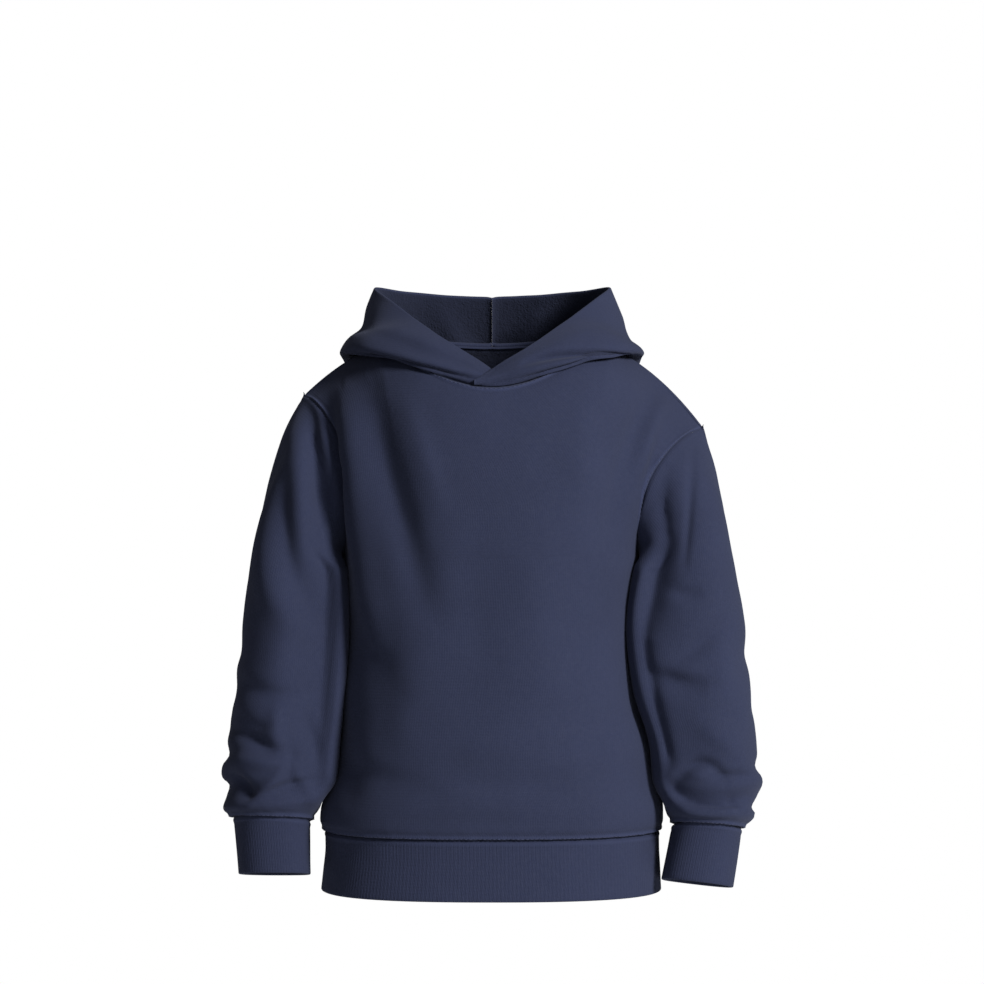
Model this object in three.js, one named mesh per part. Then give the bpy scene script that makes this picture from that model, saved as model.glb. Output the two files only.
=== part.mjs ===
// Toddler hoodie: a pullover of brushed fleece in the hollow form that it has when worn.
// Millimetres, +Z up, front towards -Y. The origin is in the middle of the neck, at the height of the
// highest point of the shoulder line. Left and right are those of someone who faces the front.
import * as THREE from "three";

// Thickness of each cloth, and the gap that every seam keeps.
const FLEECE = 1.9;
const RIB = 2.1;
const HOOD_PLY = 2.4;
const SEAM_GAP = 0.3;
const NAVY = "#2b2f49";
const FLEECE_ROUGHNESS = 0.95;
const RIB_ROUGHNESS = 0.9;

// Mesh steps: half of a panel across, the neckline's share of them, and rows above the underarm.
const HALF_COLUMNS = 13;
const NECK_COLUMNS = 5;
const UPPER_ROWS = 12;
const LONGEST_STEP = 24;
const HALVINGS = 40;
const TINY = 1e-6;

// Sections of the body from the hem seam up to the underarm: half widths and depths.
const UNDERARM_Z = -155;
const BODY = [
  { z: -345.5, left: 116.5, right: 116.6, front: 90, back: 82 },
  { z: -341, left: 119.3, right: 118.8, front: 93.5, back: 85.5 },
  { z: -333, left: 119.6, right: 119.4, front: 95.5, back: 87.5 },
  { z: -312, left: 113, right: 117, front: 95, back: 87 },
  { z: -285, left: 109.5, right: 114, front: 94.5, back: 84.5 },
  { z: -248, left: 105.6, right: 102.5, front: 93, back: 82.5 },
  { z: -205, left: 102.8, right: 96.8, front: 91, back: 83 },
  { z: UNDERARM_Z, left: 103.2, right: 102, front: 90, back: 86 },
];
const BODY_ROUND = 2.5;
const BODY_EDGE_Z = BODY[2].z;

// Sections of the hem band, from the seam down to its open edge.
const HEM = [
  { z: -386, left: 119, right: 118.2, front: 93, back: 84.5 },
  { z: -372, left: 117.4, right: 117.4, front: 92, back: 83.5 },
  { z: -358, left: 116, right: 116.6, front: 90.5, back: 82.3 },
  { z: -345.8, left: 116.3, right: 116.4, front: 89.8, back: 81.8 },
];

// Shoulders: the crown is the height that the shoulder line would have over the middle of the neck.
const SHOULDER = { crownZ: 6, y: 5, widening: 1.7 };
const NECK = { half: 78, z: -5.6, front: 71.5, back: 45, round: 2.1 };
const SIDES = {
  left: { sign: -1, tipX: 132.4, tipZ: -42.4 },
  right: { sign: 1, tipX: 148.5, tipZ: -65 },
};
const FACES = {
  front: { sign: -1, round: 2.3 },
  back: { sign: 1, round: 2.8 },
};
const ARMHOLE = { inward: THREE.MathUtils.degToRad(31), round: 0.6, leaveDown: 0.4, gap: 0.45 };

// Sections of the sleeves, by the distance down the outer line: the outer and the inner end of each
// section seen from the front, its middle from the side, its half depth and how far its front rises.
// The inner end is given by its distance from the body's side.
const SLEEVES = {
  left: [
    { down: 0, outerX: 132.4, outerZ: -42.4, clear: 0, innerZ: -155, y: 2, depth: 43, rise: 0 },
    { down: 15, outerX: 138.6, outerZ: -56, clear: 1.8, innerZ: -158.5, y: -1, depth: 44.5, rise: 0 },
    { down: 32, outerX: 147, outerZ: -72, clear: 2.2, innerZ: -163, y: -4, depth: 46, rise: 0.01 },
    { down: 54, outerX: 155, outerZ: -95, clear: 1.9, innerZ: -169, y: -7, depth: 46.5, rise: 0.02 },
    { down: 82, outerX: 162.6, outerZ: -125, clear: 1.4, innerZ: -178, y: -10, depth: 46.5, rise: 0.03 },
    { down: 118, outerX: 168.4, outerZ: -160, clear: 1, innerZ: -194, y: -12, depth: 46, rise: 0.04 },
    { down: 152, outerX: 173, outerZ: -194, clear: 1, innerZ: -214, y: -14, depth: 45, rise: 0.05 },
    { down: 186, outerX: 177.4, outerZ: -228, clear: 1, innerZ: -238, y: -16, depth: 44, rise: 0.07 },
    { down: 218, outerX: 180.6, outerZ: -260, clear: 1, innerZ: -264, y: -18, depth: 43, rise: 0.09 },
    { down: 247, outerX: 184.6, outerZ: -288, clear: 1, innerZ: -289, y: -20, depth: 42, rise: 0.11 },
    { down: 265, outerX: 187.6, outerZ: -306, clear: 1, innerZ: -306, y: -22, depth: 41, rise: 0.13 },
    { down: 282, outerX: 183.6, outerZ: -321, clear: 1, innerZ: -320, y: -23, depth: 38, rise: 0.14 },
    { down: 292, outerX: 185.6, outerZ: -330.5, clear: 1.2, innerZ: -329.5, y: -24, depth: 39.5, rise: 0.14 },
    { down: 299, outerX: 179.6, outerZ: -335.5, clear: 6, innerZ: -338, y: -24.5, depth: 32, rise: 0.14 },
  ],
  right: [
    { down: 0, outerX: 148.5, outerZ: -65, clear: 0, innerZ: -155, y: 2, depth: 43, rise: 0 },
    { down: 13, outerX: 152, outerZ: -77.5, clear: 1.8, innerZ: -158.5, y: -1, depth: 44.5, rise: 0 },
    { down: 29, outerX: 156.4, outerZ: -93.5, clear: 2.2, innerZ: -163, y: -4, depth: 46, rise: 0.01 },
    { down: 50, outerX: 161, outerZ: -115, clear: 1.9, innerZ: -169, y: -7, depth: 46.5, rise: 0.02 },
    { down: 76, outerX: 166.6, outerZ: -141, clear: 1.4, innerZ: -178, y: -10, depth: 46.5, rise: 0.03 },
    { down: 104, outerX: 171.6, outerZ: -169, clear: 1, innerZ: -192, y: -13, depth: 46, rise: 0.04 },
    { down: 134, outerX: 175.4, outerZ: -199, clear: 1, innerZ: -210, y: -16, depth: 45, rise: 0.05 },
    { down: 168, outerX: 178.2, outerZ: -232, clear: 1, innerZ: -234, y: -19, depth: 44, rise: 0.07 },
    { down: 200, outerX: 181.6, outerZ: -264, clear: 1, innerZ: -261, y: -22, depth: 43, rise: 0.09 },
    { down: 231, outerX: 184, outerZ: -294, clear: 1, innerZ: -288, y: -25, depth: 42, rise: 0.11 },
    { down: 249, outerX: 187.4, outerZ: -311, clear: 1, innerZ: -306, y: -27, depth: 41, rise: 0.13 },
    { down: 263, outerX: 182.6, outerZ: -324, clear: 1, innerZ: -320, y: -28, depth: 38, rise: 0.14 },
    { down: 275, outerX: 181.6, outerZ: -334.5, clear: 1.2, innerZ: -331, y: -29, depth: 39, rise: 0.14 },
    { down: 284, outerX: 172.6, outerZ: -343, clear: 6, innerZ: -339.5, y: -29.5, depth: 32, rise: 0.14 },
  ],
};
const ELLIPSE_ROUND = 2;
const SLEEVE_ROUND = 2.15;
const SLEEVE_FLAT = 2.7;
const ARMHOLE_FADE = 60;

// Cuffs: the middle, half widths and slope of the lower edge.
const CUFFS = {
  left: { x: 150.4, y: -30, z: -373.6, half: 24.8, depth: 27.5, lean: 0 },
  right: { x: 141.8, y: -35, z: -379.4, half: 24.6, depth: 27.5, lean: -0.12 },
};
const CUFF_RISE = 0.14;
const CUFF_RINGS = 4;
const CUFF_NARROWING = 0.4;
const CUFF_GAP = 0.5;

// Sections of the hood by the angle round the neck, 0 in front and 180 behind. Each one runs from the
// neck seam along the inner layer, round the lower turn and up the outer layer to the rim. Every
// point is given by its distance from the middle of the neck and its height.
const HOOD = [
  { angle: -10, inR: 68.6, inZ: -37, underR: 69.2, underZ: -36.4, turnR: 69.4, turnZ: -35.8,
    outR: 69.3, outZ: -35, rimR: 69.1, rimZ: -34.2 },
  { angle: 0, inR: 67.2, inZ: -36, underR: 67.5, underZ: -34.3, turnR: 67, turnZ: -32,
    outR: 65.2, outZ: -29, rimR: 62.6, rimZ: -26 },
  { angle: 25, inR: 72, inZ: -31.3, underR: 73.4, underZ: -28, turnR: 72.8, turnZ: -24,
    outR: 68, outZ: -16.4, rimR: 59.5, rimZ: -10 },
  { angle: 50, inR: 80, inZ: -22, underR: 83.6, underZ: -19.6, turnR: 83.6, turnZ: -14.5,
    outR: 75, outZ: -3.4, rimR: 58, rimZ: 3.4 },
  { angle: 70, inR: 84, inZ: -11, underR: 94, underZ: -16.6, turnR: 97.6, turnZ: -11.6,
    outR: 87, outZ: 3, rimR: 63, rimZ: 14.6 },
  { angle: 93, inR: 87, inZ: -5, underR: 100.5, underZ: -14.4, turnR: 106.4, turnZ: -12.4,
    outR: 96.4, outZ: 4.5, rimR: 76, rimZ: 27 },
  { angle: 110, inR: 88, inZ: -3, underR: 104, underZ: -20, turnR: 112, turnZ: -17,
    outR: 102, outZ: 6, rimR: 89.5, rimZ: 34.4 },
  { angle: 135, inR: 83, inZ: -8, underR: 108, underZ: -66, turnR: 120, turnZ: -64,
    outR: 119.5, outZ: -16, rimR: 88, rimZ: 33.4 },
  { angle: 158, inR: 74, inZ: -22, underR: 102, underZ: -108, turnR: 119.5, turnZ: -106,
    outR: 127, outZ: -36, rimR: 82, rimZ: 31.4 },
  { angle: 180, inR: 73, inZ: -25, underR: 102.5, underZ: -122, turnR: 121, turnZ: -119,
    outR: 129, outZ: -42, rimR: 79, rimZ: 30.4 },
];
const HOOD_BACK = 180;
const HOOD_STEPS = [3, 4, 2, 4, 4];
const HOOD_GAP = 0.6;
const HOOD_ANGLE_STEP = 9;
const UNDERLAP = { from: 42, full: 16, deeper: 14, deepest: -4, space: 0.4 };

// Largest folds, as troughs pressed into the outside along a line, with half width and depth, and a
// ridge with a depth below zero. A fold fades towards its ends, where this share of its swell is left off.
const FOLD_END = 0.12;
const FOLDS = [
  { on: "front", from: [-97, -50, -60], to: [-82, -72, -190], wide: 15, deep: -5 },
  { on: "front", from: [-68, -84, -70], to: [-42, -94, -200], wide: 15, deep: 4.4 },
  { on: "front", from: [88, -60, -70], to: [90, -60, -150], wide: 13, deep: 4.2 },
  { on: "front", from: [-104, -40, -190], to: [-60, -84, -262], wide: 16, deep: 3.4 },
  { on: "front", from: [112, -40, -268], to: [58, -88, -300], wide: 15, deep: 3.4 },
  { on: "back", from: [-84, 52, -140], to: [-70, 76, -235], wide: 16, deep: 2.8 },
  { on: "back", from: [86, 52, -135], to: [60, 78, -240], wide: 16, deep: 2.8 },
  { on: "back", from: [-108, 40, -300], to: [-30, 88, -318], wide: 13, deep: 2.6 },
  { on: "sleeve_left", from: [-128, -46, -66], to: [-116, -50, -140], wide: 10, deep: 3.6 },
  { on: "sleeve_left", from: [-112, -50, -158], to: [-121, -58, -300], wide: 11, deep: 3.6 },
  { on: "sleeve_left", from: [-186, -24, -276], to: [-136, -60, -298], wide: 7, deep: 4 },
  { on: "sleeve_left", from: [-118, -30, -268], to: [-150, -62, -276], wide: 7, deep: 3.0 },
  { on: "sleeve_left", from: [-176, 14, -200], to: [-120, 22, -212], wide: 9, deep: 3.2 },
  { on: "sleeve_left", from: [-184, 8, -290], to: [-126, 18, -300], wide: 8, deep: 3.2 },
  { on: "sleeve_right", from: [122, -48, -90], to: [112, -52, -150], wide: 10, deep: 3.4 },
  { on: "sleeve_right", from: [112, -52, -168], to: [119, -54, -250], wide: 11, deep: 4 },
  { on: "sleeve_right", from: [118, -34, -292], to: [180, -40, -312], wide: 8, deep: 4.4 },
  { on: "sleeve_right", from: [112, -34, -262], to: [164, -62, -280], wide: 7, deep: 3.4 },
  { on: "sleeve_right", from: [176, 12, -196], to: [116, 22, -208], wide: 9, deep: 3.2 },
  { on: "sleeve_right", from: [184, 4, -296], to: [124, 12, -306], wide: 8, deep: 3.2 },
  { on: "hood_left", from: [-86, -40, 12], to: [-88, 44, 2], wide: 8, deep: 3.4 },
  { on: "hood_right", from: [86, -30, 2], to: [92, 40, -2], wide: 8, deep: 3.0 },
  { on: "hood_left", from: [-92, 66, 6], to: [-40, 116, -42], wide: 12, deep: 4.4 },
  { on: "hood_right", from: [92, 66, 2], to: [44, 114, -50], wide: 12, deep: 4.4 },
];

// Value at a place between knots, on a smooth curve through the values.
function smooth(knots, values, at) {
  const last = knots.length - 1;
  let low = 0;
  while (low < last - 1 && knots[low + 1] < at) low += 1;
  const rate = (i) => (values[i + 1] - values[i]) / (knots[i + 1] - knots[i]);
  const slope = (i) => {
    if (i === 0) return rate(0);
    if (i === last) return rate(last - 1);
    const before = knots[i] - knots[i - 1];
    const after = knots[i + 1] - knots[i];
    return (rate(i - 1) * after + rate(i) * before) / (before + after);
  };
  const span = knots[low + 1] - knots[low];
  const s = (at - knots[low]) / span;
  const lead = (1 + 2 * s) * (1 - s) ** 2 * values[low] + s * s * (3 - 2 * s) * values[low + 1];
  return lead + span * (s * (1 - s) ** 2 * slope(low) - s * s * (1 - s) * slope(low + 1));
}

// All columns of a table at a place between its rows.
function rowAt(table, key, at) {
  const knots = table.map((row) => row[key]);
  const made = {};
  for (const name of Object.keys(table[0])) {
    const values = table.map((row) => row[name]);
    made[name] = smooth(knots, values, at);
  }
  return made;
}

// Every row's place in a table, with more places between rows that lie further apart than a step.
function stations(table, key, step) {
  const places = [];
  for (let i = 0; i < table.length - 1; i += 1) {
    const from = table[i][key];
    const span = table[i + 1][key] - from;
    const parts = Math.ceil(span / step);
    for (let part = 0; part < parts; part += 1) places.push(from + (span * part) / parts);
  }
  places.push(table[table.length - 1][key]);
  return places;
}

// The place where a falling or rising function passes through zero.
function solve(low, high, value) {
  const rising = value(high) > 0;
  for (let step = 0; step < HALVINGS; step += 1) {
    const middle = (low + high) / 2;
    if (value(middle) > 0 === rising) high = middle;
    else low = middle;
  }
  return (low + high) / 2;
}

// A point of an oval of half size 1, by its angle from the second axis.
function oval(angle, round) {
  const sine = Math.abs(Math.sin(angle));
  const cosine = Math.abs(Math.cos(angle));
  const reach = (sine ** round + cosine ** round) ** (-1 / round);
  return { across: sine * reach, out: cosine * reach };
}

const QUARTER = Math.PI / 2;
const NECK_SHARE = NECK_COLUMNS / HALF_COLUMNS;
for (const side of Object.values(SIDES))
  side.neckAngle = solve(0, QUARTER, (angle) => side.tipX * oval(angle, BODY_ROUND).across - NECK.half);

// Angle round the body of a panel's column, where share is 0 in the middle and 1 at the side. The
// columns are even below the underarm, and evenly spaced along the neckline at the top.
function columnAngle(side, share, height) {
  const even = QUARTER * share;
  let top = side.neckAngle * Math.sin((QUARTER * share) / NECK_SHARE);
  if (share > NECK_SHARE)
    top = side.neckAngle + ((QUARTER - side.neckAngle) * (share - NECK_SHARE)) / (1 - NECK_SHARE);
  return THREE.MathUtils.lerp(even, top, height ** 2);
}

function sideOf(u) {
  return u < 0 ? "left" : "right";
}

// A point of the body's ring at a height, on its front or back half.
function ringPoint(table, face, u, z) {
  const size = rowAt(table, "z", z);
  const side = SIDES[sideOf(u)];
  const at = oval(columnAngle(side, Math.abs(u), 0), BODY_ROUND);
  const x = side.sign * size[sideOf(u)] * at.across;
  return new THREE.Vector3(x, FACES[face].sign * size[face] * at.out, z);
}

function shoulderHeight(side, x) {
  const neckDrop = SHOULDER.crownZ - NECK.z;
  const power = Math.log((SHOULDER.crownZ - side.tipZ) / neckDrop) / Math.log(side.tipX / NECK.half);
  return SHOULDER.crownZ - neckDrop * (x / NECK.half) ** power;
}

// A point above the underarm, by the angle that it has risen over the shoulder. Height is its share
// of the way from the underarm to the top edge.
function yokeAt(face, u, rise, height) {
  const side = SIDES[sideOf(u)];
  const underarm = BODY[BODY.length - 1];
  const over = oval(rise, FACES[face].round);
  const whole = columnAngle(side, Math.abs(u), height);
  const cut = ARMHOLE.inward * Math.max(Math.sin(2 * rise), 0) ** ARMHOLE.round;
  const aside = Math.max(Math.abs(u) - NECK_SHARE, 0) / (1 - NECK_SHARE);
  const at = oval(whole - cut * aside, BODY_ROUND);
  const widen = over.across ** SHOULDER.widening;
  const half = underarm[sideOf(u)] * (1 - widen) + side.tipX * widen;
  const depth = FACES[face].sign * underarm[face] * at.out;
  const top = shoulderHeight(side, side.tipX * oval(whole, BODY_ROUND).across);
  return new THREE.Vector3(
    side.sign * half * at.across,
    SHOULDER.y + (depth - SHOULDER.y) * over.out,
    UNDERARM_Z + (top - UNDERARM_Z) * over.across,
  );
}

// How far a panel's column rises: to the shoulder seam, or to the neckline.
function topAngle(face, u) {
  if (Math.abs(u) > NECK_SHARE - TINY) return QUARTER;
  return solve(0, QUARTER, (rise) => {
    const p = yokeAt(face, u, rise, 1);
    const across = (Math.abs(p.x) / NECK.half) ** NECK.round;
    return across + (Math.abs(p.y - SHOULDER.y) / NECK[face]) ** NECK.round - 1;
  });
}

const LOWER_Z = stations(BODY, "z", LONGEST_STEP);
const UNDERARM_ROW = LOWER_Z.length - 1;
const TOP_ROW = UNDERARM_ROW + UPPER_ROWS;

function panelPoints(face) {
  const rows = [];
  for (let j = 0; j <= TOP_ROW; j += 1) {
    const row = [];
    for (let i = -HALF_COLUMNS; i <= HALF_COLUMNS; i += 1) {
      const u = i / HALF_COLUMNS;
      const height = (j - UNDERARM_ROW) / UPPER_ROWS;
      const upper = () => yokeAt(face, u, height * topAngle(face, u), height);
      const p = height <= 0 ? ringPoint(BODY, face, u, LOWER_Z[j]) : upper();
      p.y += (FACES[face].sign * SEAM_GAP) / 2;
      row.push(p);
    }
    rows.push(row);
  }
  return rows;
}

// Outward directions of a grid of points. Where the cloth goes on past an edge, beyond gives the point.
function normalsOf(points, ring, facing, beyond = () => undefined) {
  const rows = points.length;
  const columns = points[0].length;
  const at = (j, i) => {
    const column = ring ? (i + columns) % columns : i;
    if (j >= 0 && j < rows && column >= 0 && column < columns) return points[j][column];
    return beyond(j, i);
  };
  return points.map((row, j) =>
    row.map((p, i) => {
      const along = (at(j, i + 1) ?? p).clone().sub(at(j, i - 1) ?? p);
      const up = (at(j + 1, i) ?? p).clone().sub(at(j - 1, i) ?? p);
      return along.cross(up).normalize().multiplyScalar(facing);
    }),
  );
}

// Presses the folds of a piece into its points.
function pressFolds(name, points, normals) {
  for (const fold of FOLDS.filter((row) => row.on === name)) {
    const line = new THREE.Line3(new THREE.Vector3(...fold.from), new THREE.Vector3(...fold.to));
    const nearest = new THREE.Vector3();
    points.forEach((row, j) =>
      row.forEach((p, i) => {
        const share = line.closestPointToPointParameter(p, true);
        line.at(share, nearest);
        const away = p.distanceTo(nearest) / fold.wide;
        const fade = Math.sin(Math.PI * THREE.MathUtils.lerp(FOLD_END, 1 - FOLD_END, share));
        p.addScaledVector(normals[j][i], -fold.deep * fade * Math.exp(-away * away));
      }),
    );
  }
}

// A closed wall between a grid of outer points and the same points moved in by the thickness.
function wall(points, normals, thickness, ring) {
  const rows = points.length;
  const columns = points[0].length;
  const inner = points.map((row, j) =>
    row.map((p, i) => p.clone().addScaledVector(normals[j][i], -thickness)),
  );
  const places = [points, inner].flat(2).flatMap((p) => p.toArray());
  const id = (layer, j, i) => (layer * rows + j) * columns + (i % columns);
  const faces = [];
  const quad = (a, b, c, d) => faces.push(a, b, c, a, c, d);
  const across = ring ? columns : columns - 1;
  for (let i = 0; i < across; i += 1) {
    for (let j = 0; j < rows - 1; j += 1) {
      quad(id(0, j, i), id(0, j, i + 1), id(0, j + 1, i + 1), id(0, j + 1, i));
      quad(id(1, j + 1, i), id(1, j + 1, i + 1), id(1, j, i + 1), id(1, j, i));
    }
    quad(id(0, 0, i + 1), id(0, 0, i), id(1, 0, i), id(1, 0, i + 1));
    quad(id(0, rows - 1, i), id(0, rows - 1, i + 1), id(1, rows - 1, i + 1), id(1, rows - 1, i));
  }
  for (let j = 0; !ring && j < rows - 1; j += 1) {
    quad(id(0, j, 0), id(0, j + 1, 0), id(1, j + 1, 0), id(1, j, 0));
    quad(id(0, j + 1, across), id(0, j, across), id(1, j, across), id(1, j + 1, across));
  }
  if (volumeOf(places, faces) < 0) faces.reverse();
  const geometry = new THREE.BufferGeometry();
  geometry.setAttribute("position", new THREE.Float32BufferAttribute(places, 3));
  geometry.setIndex(faces);
  geometry.computeVertexNormals();
  return geometry;
}

function volumeOf(places, faces) {
  const corner = (n) => new THREE.Vector3().fromArray(places, 3 * faces[n]);
  let volume = 0;
  for (let n = 0; n < faces.length; n += 3)
    volume += corner(n).dot(corner(n + 1).cross(corner(n + 2))) / 6;
  return volume;
}

const garment = new THREE.Group();

function addPiece(name, geometry, roughness) {
  const cloth = new THREE.MeshStandardMaterial({ color: NAVY, roughness, metalness: 0 });
  const mesh = new THREE.Mesh(geometry, cloth);
  mesh.name = name;
  garment.add(mesh);
}

// Front and back panels. Beyond the side and shoulder seams each panel is followed by the other.
const panels = { front: panelPoints("front"), back: panelPoints("back") };
const panelNormals = {};
for (const [face, other] of [["front", "back"], ["back", "front"]]) {
  const last = 2 * HALF_COLUMNS;
  panelNormals[face] = normalsOf(panels[face], false, -FACES[face].sign, (j, i) => {
    if (j > TOP_ROW && Math.abs(i - HALF_COLUMNS) >= NECK_COLUMNS) return panels[other][TOP_ROW - 1][i];
    if (j < 0 || j > UNDERARM_ROW) return undefined;
    return panels[other][j][i < 0 ? 1 : last - 1];
  });
}

// The armhole's loop of points, from the shoulder tip down the front edge and up the back edge.
function armholeLoop(side, grids) {
  const column = side === "left" ? 0 : 2 * HALF_COLUMNS;
  const loop = [];
  for (let j = TOP_ROW; j > UNDERARM_ROW; j -= 1) loop.push(grids.front[j][column]);
  for (let j = UNDERARM_ROW; j < TOP_ROW; j += 1) loop.push(grids.back[j][column]);
  return loop;
}

// A section of a sleeve or a cuff: its middle, and its reach outwards and forwards.
function sleeveSection(side, row) {
  const sign = SIDES[side].sign;
  const body = rowAt(BODY, "z", Math.max(row.innerZ, BODY_EDGE_Z))[side];
  const outer = new THREE.Vector3(sign * row.outerX, row.y, row.outerZ);
  const inner = new THREE.Vector3(sign * (body + row.clear), row.y, row.innerZ);
  return {
    middle: outer.clone().add(inner).multiplyScalar(0.5),
    outwards: outer.clone().sub(inner).multiplyScalar(0.5),
    forwards: new THREE.Vector3(0, -row.depth, row.depth * row.rise),
  };
}

// The side towards the body lies flatter against it.
function sectionPoint(section, angle, round) {
  const inner = Math.max(-Math.cos(angle), 0);
  const reach = oval(angle, round + (SLEEVE_FLAT - round) * inner * (round > ELLIPSE_ROUND ? 1 : 0));
  return section.middle
    .clone()
    .addScaledVector(section.outwards, reach.out * Math.sign(Math.cos(angle)))
    .addScaledVector(section.forwards, reach.across * Math.sign(Math.sin(angle)));
}

function sleevePoints(side) {
  const table = SLEEVES[side];
  const loop = armholeLoop(side, panels);
  const first = sleeveSection(side, table[0]);
  const angles = loop.map((p) => {
    const away = p.clone().sub(first.middle);
    const out = away.dot(first.outwards) / first.outwards.lengthSq();
    const forward = away.dot(first.forwards) / first.forwards.lengthSq();
    return Math.atan2(forward, out);
  });
  const leave = new THREE.Vector3(SIDES[side].sign, 0, -ARMHOLE.leaveDown).setLength(ARMHOLE.gap);
  return stations(table, "down", LONGEST_STEP).map((down) => {
    const section = sleeveSection(side, rowAt(table, "down", down));
    const held = Math.max(1 - down / ARMHOLE_FADE, 0) ** 2;
    return loop.map((p, i) => {
      const round = THREE.MathUtils.lerp(SLEEVE_ROUND, ELLIPSE_ROUND, held);
      const rest = sectionPoint(section, angles[i], round);
      const start = sectionPoint(first, angles[i], ELLIPSE_ROUND);
      return rest.addScaledVector(p.clone().sub(start).add(leave), held);
    });
  });
}

// One direction shared by the pieces that meet at the armhole, so that their edges stay parallel.
function shareDirections(side, sleeveNormals) {
  const loop = armholeLoop(side, panelNormals);
  const twin = { 0: panelNormals.back[TOP_ROW], [UPPER_ROWS]: panelNormals.front[UNDERARM_ROW] };
  loop.forEach((direction, i) => {
    const shared = direction.clone().add(sleeveNormals[0][i]).normalize();
    direction.copy(shared);
    sleeveNormals[0][i].copy(shared);
    if (twin[i]) twin[i][side === "left" ? 0 : 2 * HALF_COLUMNS].copy(shared);
  });
}

for (const face of ["front", "back"]) pressFolds(face, panels[face], panelNormals[face]);

for (const side of ["left", "right"]) {
  const name = "sleeve_" + side;
  const points = sleevePoints(side);
  pressFolds(name, points.slice(1), normalsOf(points, true, SIDES[side].sign).slice(1));
  const normals = normalsOf(points, true, SIDES[side].sign);
  shareDirections(side, normals);
  addPiece(name, wall(points, normals, FLEECE, true), FLEECE_ROUGHNESS);
}
for (const face of ["front", "back"])
  addPiece(face, wall(panels[face], panelNormals[face], FLEECE, false), FLEECE_ROUGHNESS);

// Cuffs, whose upper edge follows the end of the sleeve.
for (const side of ["left", "right"]) {
  const sign = SIDES[side].sign;
  const low = CUFFS[side];
  const end = sleeveSection(side, SLEEVES[side][SLEEVES[side].length - 1]);
  end.middle.z -= CUFF_GAP;
  const edge = {
    middle: new THREE.Vector3(sign * low.x, low.y, low.z),
    outwards: new THREE.Vector3(sign * low.half, 0, low.half * low.lean),
    forwards: new THREE.Vector3(0, -low.depth, low.depth * CUFF_RISE),
  };
  const rings = [];
  for (let k = 0; k <= CUFF_RINGS; k += 1) {
    const share = k / CUFF_RINGS;
    const narrow = share ** CUFF_NARROWING;
    const section = {
      middle: end.middle.clone().lerp(edge.middle, share),
      outwards: end.outwards.clone().lerp(edge.outwards, narrow),
      forwards: end.forwards.clone().lerp(edge.forwards, narrow),
    };
    const ring = [];
    for (let i = 0; i < 2 * UPPER_ROWS; i += 1)
      ring.push(sectionPoint(section, (Math.PI * i) / UPPER_ROWS, SLEEVE_ROUND));
    rings.push(ring);
  }
  addPiece("cuff_" + side, wall(rings, normalsOf(rings, true, sign), RIB, true), RIB_ROUGHNESS);
}

// Hem band, one ring of rib round the front and the back.
const hemRings = stations(HEM, "z", LONGEST_STEP).map((z) => {
  const at = (face, i) => ringPoint(HEM, face, i / HALF_COLUMNS, z);
  const ring = [];
  for (let i = -HALF_COLUMNS; i < HALF_COLUMNS; i += 1) ring.push(at("front", i));
  for (let i = HALF_COLUMNS; i > -HALF_COLUMNS; i -= 1) ring.push(at("back", i));
  return ring;
});
addPiece("hem_band", wall(hemRings, normalsOf(hemRings, true, 1), RIB, true), RIB_ROUGHNESS);

// The neckline's point at an angle round the neck.
function neckPoint(side, angle) {
  const sign = SIDES[side].sign;
  const turned = THREE.MathUtils.degToRad(Math.abs(angle));
  const share = (face, u) => {
    const p = yokeAt(face, u, topAngle(face, u), 1);
    return { p, turn: Math.atan2(Math.abs(p.x), -p.y) };
  };
  const face = turned < share("front", sign * NECK_SHARE).turn ? "front" : "back";
  const u = solve(0, NECK_SHARE, (size) => share(face, sign * Math.max(size, TINY)).turn - turned);
  const p = share(face, sign * Math.max(u, TINY)).p;
  if (angle < 0) p.x = -p.x;
  return p;
}

// A section of the hood as a smooth line through its corners, with equal steps between corners.
function hoodLine(corners) {
  const knots = [0];
  for (let i = 1; i < corners.length; i += 1)
    knots.push(knots[i - 1] + Math.sqrt(corners[i].distanceTo(corners[i - 1])));
  const places = [];
  HOOD_STEPS.forEach((steps, i) => {
    for (let step = 0; step < steps; step += 1)
      places.push(knots[i] + ((knots[i + 1] - knots[i]) * step) / steps);
  });
  places.push(knots[knots.length - 1]);
  return places.map((at) => {
    const value = (axis) => smooth(knots, corners.map((corner) => corner[axis]), at);
    return new THREE.Vector3(value("x"), value("y"), value("z"));
  });
}

function hoodPoints(side) {
  const sign = SIDES[side].sign;
  const angles = stations(HOOD, "angle", HOOD_ANGLE_STEP).reverse();
  const lines = angles.map((angle) => {
    const row = rowAt(HOOD, "angle", angle);
    const seam = neckPoint(side, angle);
    seam.z += HOOD_GAP;
    const turned = THREE.MathUtils.degToRad(angle);
    const away = new THREE.Vector3(sign * Math.sin(turned), -Math.cos(turned), 0);
    const corner = (r, z) => away.clone().multiplyScalar(r).setZ(z);
    const corners = [
      seam,
      corner(row.inR, row.inZ),
      corner(row.underR, row.underZ),
      corner(row.turnR, row.turnZ),
      corner(row.outR, row.outZ),
      corner(row.rimR, row.rimZ),
    ];
    const line = hoodLine(corners);
    const under = THREE.MathUtils.smoothstep(-angle, -UNDERLAP.from, -UNDERLAP.full);
    const deeper = THREE.MathUtils.smoothstep(-angle, -UNDERLAP.deeper, -UNDERLAP.deepest);
    const inside = side === "left" ? (under + deeper) * (HOOD_PLY + UNDERLAP.space) : 0;
    const apart = angle === HOOD_BACK ? (sign * SEAM_GAP) / 2 : 0;
    for (const p of line) {
      p.addScaledVector(away, -inside);
      p.x += apart;
    }
    return line;
  });
  return lines[0].map((first, j) => lines.map((line) => line[j]));
}

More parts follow.
